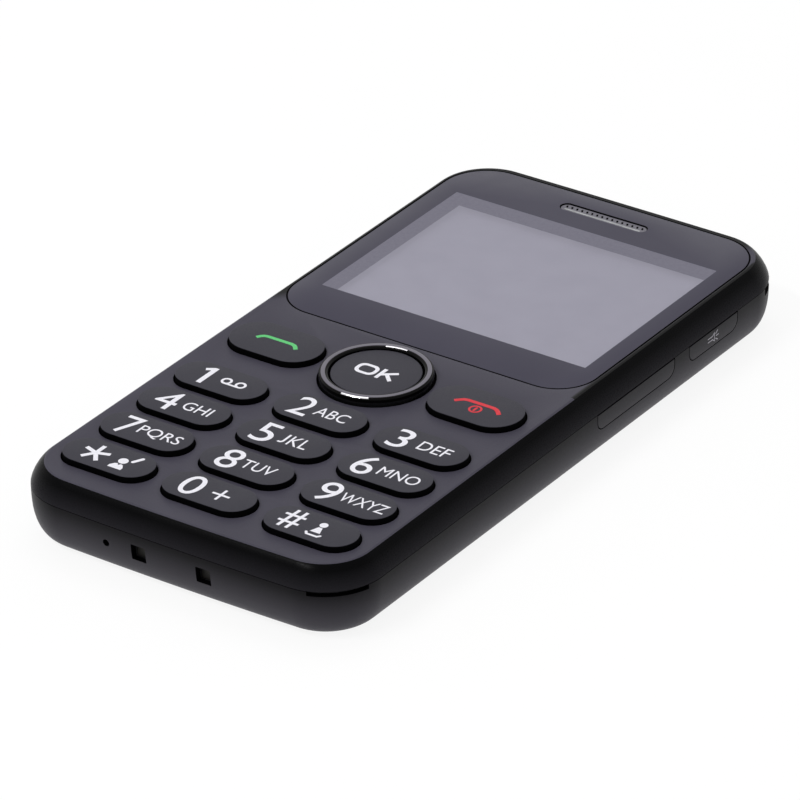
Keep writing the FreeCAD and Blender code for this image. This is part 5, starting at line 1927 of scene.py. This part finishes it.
# ---- navigation ring and centre key ----
@dataclass
class NavigationPad:
    """Rocking ring with its bright trim, and the round centre key."""

    finishes: Finishes
    cy: float = -8.95
    r: float = 9.05
    bore: float = 7.5
    flange_r: float = 9.8
    wall_step: float = 0.04
    seat_z: float = FACE_Z - 2.182
    flange_top_z: float = FACE_Z - 1.782
    plunger_r: float = 8.8          # distance of the four plungers from the middle
    plunger_half: float = 0.7
    trim_edge: float = 0.5          # height of the trim's round outer edge
    trim_flank_r: float = 8.67
    trim_crest_r: float = 8.0
    trim_dish: float = 0.42
    trim_steps: int = 6
    ok_r: float = 7.2
    ok_depth: float = 2.78
    ok_edge: float = 0.16
    ok_plunger_half: float = 1.4
    segments: int = 120
    # Stretches of the flanks that get a painted highlight
    polished: tuple[tuple[float, float, float, float], ...] = (
        (88.0, 115.0, 7.74, 8.05), (268.0, 298.0, 8.6, 8.9))    # angles, then radii

    def outline(self) -> Circle:
        """Outside of the ring, for its opening."""
        return Circle(0.0, self.cy, self.r)

    def turned(self, profile: Sequence[Point], closed: bool,
               slots: Sequence[int] = ()) -> MeshMaker:
        """Turns a profile about the pad's axis.

        Args:
            profile: Radius and level, outside upwards.
            closed: True joins the last point to the first; otherwise both are capped.
            slots: Material slot of each strip.

        Returns:
            The mesh under construction.
        """
        maker = MeshMaker()
        rings = [maker.ring(Circle(0.0, self.cy, r, self.segments).points(), z)
                 for r, z in profile]
        for i, (low, high) in enumerate(zip(rings, rings[1:])):
            maker.strip(low, high, slots[i] if slots else 0)
        if closed:
            maker.strip(rings[-1], rings[0])
        else:
            maker.cap(rings[0], up=False)
            maker.cap(rings[-1])
        return maker

    def build(self) -> list[bpy.types.Object]:
        """Makes the ring, its trim and the centre key with its legend.

        Returns:
            The pieces.
        """
        return [self.ring(), self.trim(), *self.centre()]

    def ring(self) -> bpy.types.Object:
        """Ring wall with its flange and plungers.

        Returns:
            The piece.
        """
        low, high = (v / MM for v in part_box("nav_ring"))
        r, seat, flange_top = self.r - self.wall_step, self.seat_z, self.flange_top_z
        maker = self.turned([(self.bore, seat), (self.flange_r, seat), (self.flange_r, flange_top),
                             (r, flange_top), (r, high.z), (self.bore, high.z)], True)
        half = self.plunger_half
        for quarter in range(4):
            a = math.pi / 2 * quarter
            x, y = self.plunger_r * math.cos(a), self.cy + self.plunger_r * math.sin(a)
            maker.prism(Block(x - half, x + half, y - half, y + half, 0.15).points(), low.z,
                        seat + 0.1)
        mesh = maker.mesh("ring_wall")
        dress_normals(mesh, [], 30.0)
        wall = new_object("ring_wall", mesh, [self.finishes["ring_plastic"]])
        place(wall, "nav_rocker", "ring_plastic", ["nav_ring"])
        return wall

    def trim(self) -> bpy.types.Object:
        """Bright trim with a domed top; its flanks are black as painted shade, with two painted
        highlights.

        Returns:
            The piece.
        """
        low, high = (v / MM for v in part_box("nav_ring_trim"))
        edge, flank_r, crest_r = self.trim_edge, self.trim_flank_r, self.trim_crest_r
        crown = high.z
        profile = [(self.bore, low.z), (self.r, low.z), (self.r, crown - edge)]
        # Slot 1 gives the flanks painted shade black; slot 0 is the crest.
        slots = [1, 1]
        turns = [math.pi / 2 * step / self.trim_steps for step in range(self.trim_steps + 1)]
        for a in turns[1:]:                     # outer flank, swelling slightly
            profile.append((flank_r + (self.r - flank_r) * math.cos(a),
                            crown - edge * (1 - math.sin(a))))
            slots.append(1)
        for a in turns:                         # crest, then the dished inner flank
            profile.append((crest_r - (crest_r - self.bore) * math.sin(a),
                            crown - self.trim_dish * (1 - math.cos(a))))
            slots.append(1 if a else 0)
        mesh = self.turned(profile, True, slots).mesh("ring_trim")
        self.mark_painted_glints(mesh)
        dress_normals(mesh, [], 38.0)
        trim = new_object("ring_trim", mesh,
                          self.finishes.several("dark_chrome", "trim_flank", "trim_polish"))
        place(trim, "nav_rocker", "dark_chrome", ["nav_ring_trim"])
        return trim

    def mark_painted_glints(self, mesh: bpy.types.Mesh) -> None:
        """Paints highlights on two stretches of the flanks, where a lamp's reflection would fall.

        Args:
            mesh: The trim's mesh.
        """
        for polygon in mesh.polygons:
            x, y, _ = polygon.center / MM
            r, turn = math.hypot(x, y - self.cy), math.degrees(math.atan2(y - self.cy, x)) % 360
            for first, last, inner, outer in self.polished:
                if first < turn < last and inner < r < outer and polygon.normal.z > 0.15:
                    polygon.material_index = 2

    def centre(self) -> list[bpy.types.Object]:
        """Centre key and its two letters.

        Returns:
            The key and its legend.
        """
        low, high = (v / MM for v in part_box("ok_key"))
        profile = [(self.ok_r, high.z - self.ok_depth), (self.ok_r, high.z - self.ok_edge)]
        for inset, drop in quarter_round(self.ok_edge, KEY_EDGE_STEPS):
            profile.append((self.ok_r - inset, high.z - drop))
        # The centre key's side is painted shade black (slot 1).
        maker = self.turned(profile, False, (1, 1, 0, 0, 0))
        half = self.ok_plunger_half
        maker.prism(Block(-half, half, self.cy - half, self.cy + half, 0.2).points(), low.z,
                    high.z - self.ok_depth + 0.1, 1)
        mesh = maker.mesh("cap_ok_key")
        dress_normals(mesh, [], 40.0)
        cap = new_object("cap_ok_key", mesh, self.finishes.several("key_plastic", "key_wall"))
        place(cap, "ok_key", "key_plastic", ["ok_key"])
        work = InkWork(0.0, self.cy, high.z)
        work.band(Block(-3.72, 0.1, -1.5, 1.6, 1.25, 8).points(),
                  Block(-3.08, -0.54, -0.9, 1.0, 0.72, 8).points())
        work.line([(0.86, -1.5), (0.86, 1.6)], 0.64, False)
        work.line([(0.95, -0.25), (3.3, 1.4)], 0.62, False)
        work.line([(1.7, 0.35), (3.35, -1.3)], 0.64, False)
        return [cap, work.build("legend_ok_key", "ok_key", Ink.WHITE, self.finishes)]


# ---- side keys ----
@dataclass(frozen=True)
class SideNotch:
    """Outline of a side key in the side's Y and Z, with two round lower corners."""

    cy: float
    length: float
    top_z: float = PARTING_Z - 0.3
    height: float = 2.8
    r: float = 1.7

    def points(self, inset: float = 0.0) -> list[Point]:
        """Closed outline, counter-clockwise, moved inwards.

        Args:
            inset: Distance inside the outline.

        Returns:
            The points.
        """
        half, low, r = self.length / 2 - inset, self.top_z - self.height + inset, self.r - inset
        left = arc(self.cy - half + r, low + r, r, math.pi, math.pi * 1.5, 8)
        right = arc(self.cy + half - r, low + r, r, math.pi * 1.5, math.tau, 8)
        top = self.top_z - inset
        return left + right + [(self.cy + half, top), (self.cy - half, top)]


@dataclass
class SideKeys:
    """Volume rocker and torch key, flush with the cover's side."""

    finishes: Finishes
    notches: dict[str, SideNotch] = field(default_factory=lambda: {
        "volume_rocker": SideNotch(16.5, 21.8), "torch_key": SideNotch(38.85, 14.0)})
    inner_x: float = 28.4
    outer_x: float = 33.0           # past the cover's side
    flange_x: Point = (0.2, 0.8)    # from the CAD node's inner side
    flange_top_z: float = 7.85
    sign_at: tuple[float, float, float] = (38.75, 7.2, 31.588)  # Y, Z, and X of the key's face

    def build(self) -> list[bpy.types.Object]:
        """Makes both keys and the torch sign.

        Returns:
            The pieces.
        """
        made = [self.key(name, notch) for name, notch in self.notches.items()]
        return made + [self.torch_sign()]

    def key(self, name: str, notch: SideNotch) -> bpy.types.Object:
        """One side key: its face follows the cover, its flange keeps it in.

        Args:
            name: Its CAD node.
            notch: Its outline.

        Returns:
            The piece.
        """
        tool = MeshMaker(ALONG_X)
        tool.prism(notch.points(), self.inner_x, self.outer_x)
        mesh = joined(skin_solid("side_" + name, BACK_SKIN), tool.mesh("tool"), Join.MEET)
        low, high = (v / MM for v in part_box(name))
        flange = MeshMaker()
        first, last = (low.x + v for v in self.flange_x)
        flange.prism(Block(first, last, low.y, high.y, 0.1).points(), low.z, self.flange_top_z)
        mesh = joined(mesh, flange.mesh("flange"), Join.ADD)
        dress_normals(mesh, [BACK_SKIN])
        key = new_object("side_" + name, mesh, [self.finishes["side_key_plastic"]])
        place(key, name, "side_key_plastic", [name])
        return key

    def torch_sign(self) -> bpy.types.Object:
        """Small torch with three rays.

        Returns:
            The legend.
        """
        work = InkWork(*self.sign_at, 0.01, ALONG_X)
        work.line([(-1.5, -0.3), (-0.2, -0.3), (0.35, -0.72), (0.35, 0.72), (-0.2, 0.3),
                   (-1.5, 0.3)], 0.17)
        for turn in (-35.0, 0.0, 35.0):
            a = math.radians(turn)
            work.line([(0.75 * math.cos(a) + 0.1, 0.75 * math.sin(a)),
                       (1.45 * math.cos(a) + 0.1, 1.45 * math.sin(a))], 0.17)
        return work.build("legend_torch_key", "torch_key", Ink.GREY, self.finishes)


# ---- battery cover ----
@dataclass
class BackCover:
    """Wrap-round battery cover with its port, camera, torch, speaker and fingernail openings."""

    finishes: Finishes
    wall: float = 1.0
    edge_z: float = PARTING_Z - 0.12
    side_gap: float = 0.18
    camera: Circle = Circle(0.0, 46.75, 4.95, 72)
    torch: Circle = Circle(9.0, 46.75, 1.9, 36)
    slots: tuple[Stadium, ...] = (Stadium(-14.5, 33.15, 11.0, 1.1, 10),
                                  Stadium(-14.5, 35.75, 11.0, 1.1, 10),
                                  Stadium(-14.5, 38.35, 11.0, 1.1, 10))
    contacts: tuple[float, ...] = (-6.05, 6.05)
    contact_half: float = 1.35
    contact_z: float = 5.65
    mic: Point = (-12.2, 5.6)
    mic_r: float = 0.6
    jack: Point = (15.0, 5.55)
    jack_r: float = 2.6
    jack_mouth_y: float = 62.77
    end_tool_y: Point = (60.5, 66.0)        # reach of the tools through the ends
    side_tool_x: Point = (29.4, 34.0)       # and through the sides
    usb: Point = (23.75, 6.5)
    usb_size: tuple[float, float] = (8.4, 3.6)
    nails: tuple[tuple[bool, float, float, float], ...] = ((False, 0.7, -72.0, -16.0),
                                                           (True, 1.3, 12.0, 52.0))
    ribs: tuple[tuple[int, float], ...] = ((-1, -44.75), (1, -44.75), (-1, -19.75),
                                           (1, -19.75), (-1, 43.75))
    rib_half: Point = (0.42, 1.5)
    rib_z: Point = (3.95, 7.95)

    def build(self, notches: Iterable[SideNotch]) -> bpy.types.Object:
        """Makes the cover.

        Args:
            notches: Side keys that it is cut away for.

        Returns:
            The piece.
        """
        mesh = skin_solid("back_cover", BACK_SKIN)
        hollow = skin_solid("hollow", inner_skin(self.wall), HOLLOW_BANDS)
        mesh = joined(mesh, hollow, Join.CUT)
        trim = MeshMaker()
        trim.prism(Block(*OUTSIDE).points(), self.edge_z, 20.0)
        mesh = joined(mesh, trim.mesh("trim"), Join.CUT)
        mesh = joined(mesh, self.locators(), Join.ADD)
        for tool in (self.back_tools(), self.end_tools(), self.side_tools(notches),
                     self.nail_tools()):
            mesh = joined(mesh, tool, Join.CUT)
        dress_normals(mesh, [BACK_SKIN])
        self.mark_walls(mesh)
        cover = new_object("back_cover", mesh, self.finishes.several("cover_plastic", "key_wall"))
        place(cover, "cover", "cover_plastic", ["battery_cover"])
        return cover

    def mark_walls(self, mesh: bpy.types.Mesh) -> None:
        """Gives the walls of the side and end openings the finish of a shadowed edge.

        Args:
            mesh: The cover's mesh.
        """
        for polygon in mesh.polygons:
            x, y, z = polygon.center / MM
            _, outward = BODY.locate(x, y)
            facing = polygon.normal.x * outward.x + polygon.normal.y * outward.y
            if abs(facing) < 0.4 and 1.5 < z < PARTING_Z - 0.25:
                polygon.material_index = 1

    def locators(self) -> bpy.types.Mesh:
        """Short ribs inside the sides that find the chassis's grooves.

        Returns:
            The mesh to add.
        """
        maker = MeshMaker()
        for side, y in self.ribs:
            x = side * (BODY.half_w - self.wall - 0.04)
            dx, dy = self.rib_half
            maker.prism(Block(x - dx, x + dx, y - dy, y + dy, 0.1).points(), *self.rib_z)
        return maker.mesh("locators")

    def back_tools(self) -> bpy.types.Mesh:
        """Openings through the back.

        Returns:
            The cutting tools.
        """
        maker = MeshMaker(Matrix(((1, 0, 0), (0, -1, 0), (0, 0, -1))))
        for hole, lip in ((self.camera, 0.2), (self.torch, 0.15), *[(s, 0.15) for s in self.slots]):
            flared(maker, Mirrored(hole), -self.wall - 1, 0.0, 1.0, lip)
        return maker.mesh("back_tools")

    def end_tools(self) -> bpy.types.Mesh:
        """Contact windows and microphone hole at the bottom end, headphone opening at the top.

        Returns:
            The cutting tools.
        """
        maker = MeshMaker(ALONG_Y)
        half, (near, far) = self.contact_half, self.end_tool_y
        for x in self.contacts:
            maker.prism(Block(self.contact_z - half, self.contact_z + half, x - half, x + half,
                              0.12).points(), -far, -near)
        maker.prism(Circle(self.mic[1], self.mic[0], self.mic_r, 24).points(), -far, -near)
        flared(maker, Circle(self.jack[1], self.jack[0], self.jack_r, 48), near, self.jack_mouth_y,
               far, 0.15)
        return maker.mesh("end_tools")

    def side_tools(self, notches: Iterable[SideNotch]) -> bpy.types.Mesh:
        """Connector slot on the left and side-key notches on the right.

        Args:
            notches: Outlines of the side keys.

        Returns:
            The cutting tools.
        """
        maker = MeshMaker(ALONG_X)
        near, far = self.side_tool_x
        for notch in notches:
            grown = SideNotch(notch.cy, notch.length, notch.top_z + 0.4, notch.height + 0.4,
                              notch.r)
            maker.prism(grown.points(-self.side_gap), near, far)
        length, width = self.usb_size
        maker.prism(Stadium(*self.usb, length, width, 12).points(), -far, -near)
        return maker.mesh("side_tools")

    def nail_tools(self) -> bpy.types.Mesh:
        """Fingernail notches in the edge round the right-hand corners.

        Returns:
            The cutting tools.
        """
        maker = MeshMaker()
        for high, depth, first, last in self.nails:
            (hx, hy), _, _ = BODY.hub(high)
            r = BODY.r_high if high else BODY.r_low
            outer = arc(hx, hy, r + 1, math.radians(first), math.radians(last), 12)
            inner = arc(hx, hy, r - self.wall - 0.6, math.radians(last), math.radians(first), 12)
            maker.prism(outer + inner, self.edge_z - depth, self.edge_z + 1)
        return maker.mesh("nail_tools")


@dataclass(frozen=True)
class Mirrored:
    """Outline turned over about the X axis, still counter-clockwise."""

    outline: Outline

    def points(self, inset: float = 0.0) -> list[Point]:
        """Closed outline, counter-clockwise, moved inwards by inset."""
        return [(x, -y) for x, y in reversed(self.outline.points(inset))]


# ---- studio ----
@dataclass(frozen=True)
class SoftLamp:
    """Soft rectangular lamp, by its place and size in metres and its power in watts."""

    name: str
    at: tuple[float, float, float]
    wide: float
    tall: float
    watts: float

    def build(self) -> None:
        """Adds the lamp, facing the phone."""
        data = bpy.data.lights.new(self.name, "AREA")
        data.shape, data.energy = "RECTANGLE", self.watts
        data.size, data.size_y = self.wide, self.tall
        lamp = bpy.data.objects.new(self.name, data)
        lamp.location = self.at
        lamp.rotation_euler = (-Vector(self.at)).to_track_quat("-Z", "Y").to_euler()
        bpy.context.scene.collection.objects.link(lamp)


@dataclass
class Studio:
    """Camera, floor, world and lamps."""

    lens_mm: float = 298.49
    azimuth: float = 35.436
    elevation: float = 29.275
    roll: float = -1.188
    camera_at: tuple[float, float, float] = (0.524986, -0.740525, 0.513353)
    table_glow: float = 0.88        # share of the table's white that no shadow darkens
    world_strength: Point = (0.62, 1.0)     # on the phone, and as the backdrop
    lamps: tuple[SoftLamp, ...] = (
        SoftLamp("overhead_softbox", (-0.25, 0.35, 1.2), 0.9, 0.7, 3.5),
        SoftLamp("front_strip", (-0.29, -0.65, 0.96), 0.5, 0.035, 4.5))

    def build(self) -> None:
        """Sets up the whole studio."""
        self.camera()
        self.world()
        self.floor()
        for lamp in self.lamps:
            lamp.build()
        bpy.context.scene.view_settings.view_transform = "Standard"

    def camera(self) -> None:
        """Places the camera by its angles round the phone."""
        a, e, roll = (math.radians(v) for v in (self.azimuth, self.elevation, self.roll))
        back = Vector((math.sin(a) * math.cos(e), -math.cos(a) * math.cos(e), math.sin(e)))
        level = Vector((math.cos(a), math.sin(a), 0.0))
        rise = back.cross(level)
        right = level * math.cos(roll) + rise * math.sin(roll)
        up = back.cross(right)
        data = bpy.data.cameras.new("camera")
        data.lens, data.sensor_width = self.lens_mm, 36.0
        camera = bpy.data.objects.new("camera", data)
        bpy.context.scene.collection.objects.link(camera)
        turn = Matrix((right, up, back)).transposed().to_4x4()
        camera.matrix_world = Matrix.Translation(self.camera_at) @ turn
        bpy.context.scene.camera = camera

    @staticmethod
    def backdrop_rays(tree: bpy.types.NodeTree) -> bpy.types.NodeSocket:
        """Marks rays that come from the camera, a reflection or clear plastic.

        Args:
            tree: The node tree that asks.

        Returns:
            One for such a ray, nought for others.
        """
        path = add(tree, "ShaderNodeLightPath").outputs
        seen = add(tree, "ShaderNodeMath", {"operation": "MAXIMUM"}, in0=path["Is Camera Ray"],
                   in1=path["Is Glossy Ray"])
        return add(tree, "ShaderNodeMath", {"operation": "MAXIMUM"}, in0=seen.outputs[0],
                   in1=path["Is Transmission Ray"]).outputs[0]

    def world(self) -> None:
        """Even white surroundings."""
        world = bpy.data.worlds.new("studio")
        bpy.context.scene.world = world
        world.use_nodes = True
        tree = world.node_tree
        on_phone, as_backdrop = self.world_strength
        strength = add(tree, "ShaderNodeMapRange", None, Value=self.backdrop_rays(tree),
                       To_Min=on_phone, To_Max=as_backdrop)
        tree.links.new(strength.outputs[0], tree.nodes["Background"].inputs["Strength"])
        tree.nodes["Background"].inputs["Color"].default_value = (1.0, 1.0, 1.0, 1.0)

    def floor(self) -> None:
        """Wide white table."""
        maker = MeshMaker()
        maker.prism(Block(-3000, 3000, -3000, 3000, 200.0, 8).points(), -20.0, -0.02)
        surface = Surface("white_table")
        fleck = surface.noise(60.0, 2.0)
        surface.set(Base_Color=surface.blend(surface.spread(fleck, 0.0, 1.0), "fbfbfb", "ffffff"),
                    Roughness=0.9, Specular_IOR_Level=0.1)
        shown = add(surface.tree, "ShaderNodeMath", {"operation": "MULTIPLY"},
                    in0=self.backdrop_rays(surface.tree), in1=self.table_glow)
        white = surface.add("ShaderNodeEmission", None, Color=(1.0, 1.0, 1.0, 1.0), Strength=1.0)
        mix = surface.add("ShaderNodeMixShader", None, in0=shown.outputs[0],
                          in1=surface.shader.outputs[0], in2=white.outputs[0])
        output = surface.tree.nodes["Material Output"].inputs["Surface"]
        surface.tree.links.new(mix.outputs[0], output)
        floor = new_object("table", maker.mesh("table"), [surface.material])


def main() -> None:
    """Builds the phone's looks and the studio."""
    logging.basicConfig(level=logging.INFO, format="%(name)s: %(message)s", stream=sys.stdout)
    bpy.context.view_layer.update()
    finishes = Finishes()
    finishes.dress_nodes()
    keypad, pad = Keypad(finishes), NavigationPad(finishes)
    FrontHousing(finishes).build(keypad.keys(), pad.outline())
    Window(finishes).build()
    EarpieceGrille(finishes).build()
    keypad.build()
    pad.build()
    sides = SideKeys(finishes)
    sides.build()
    BackCover(finishes).build(sides.notches.values())
    Studio().build()


if __name__ == "__main__":
    main()
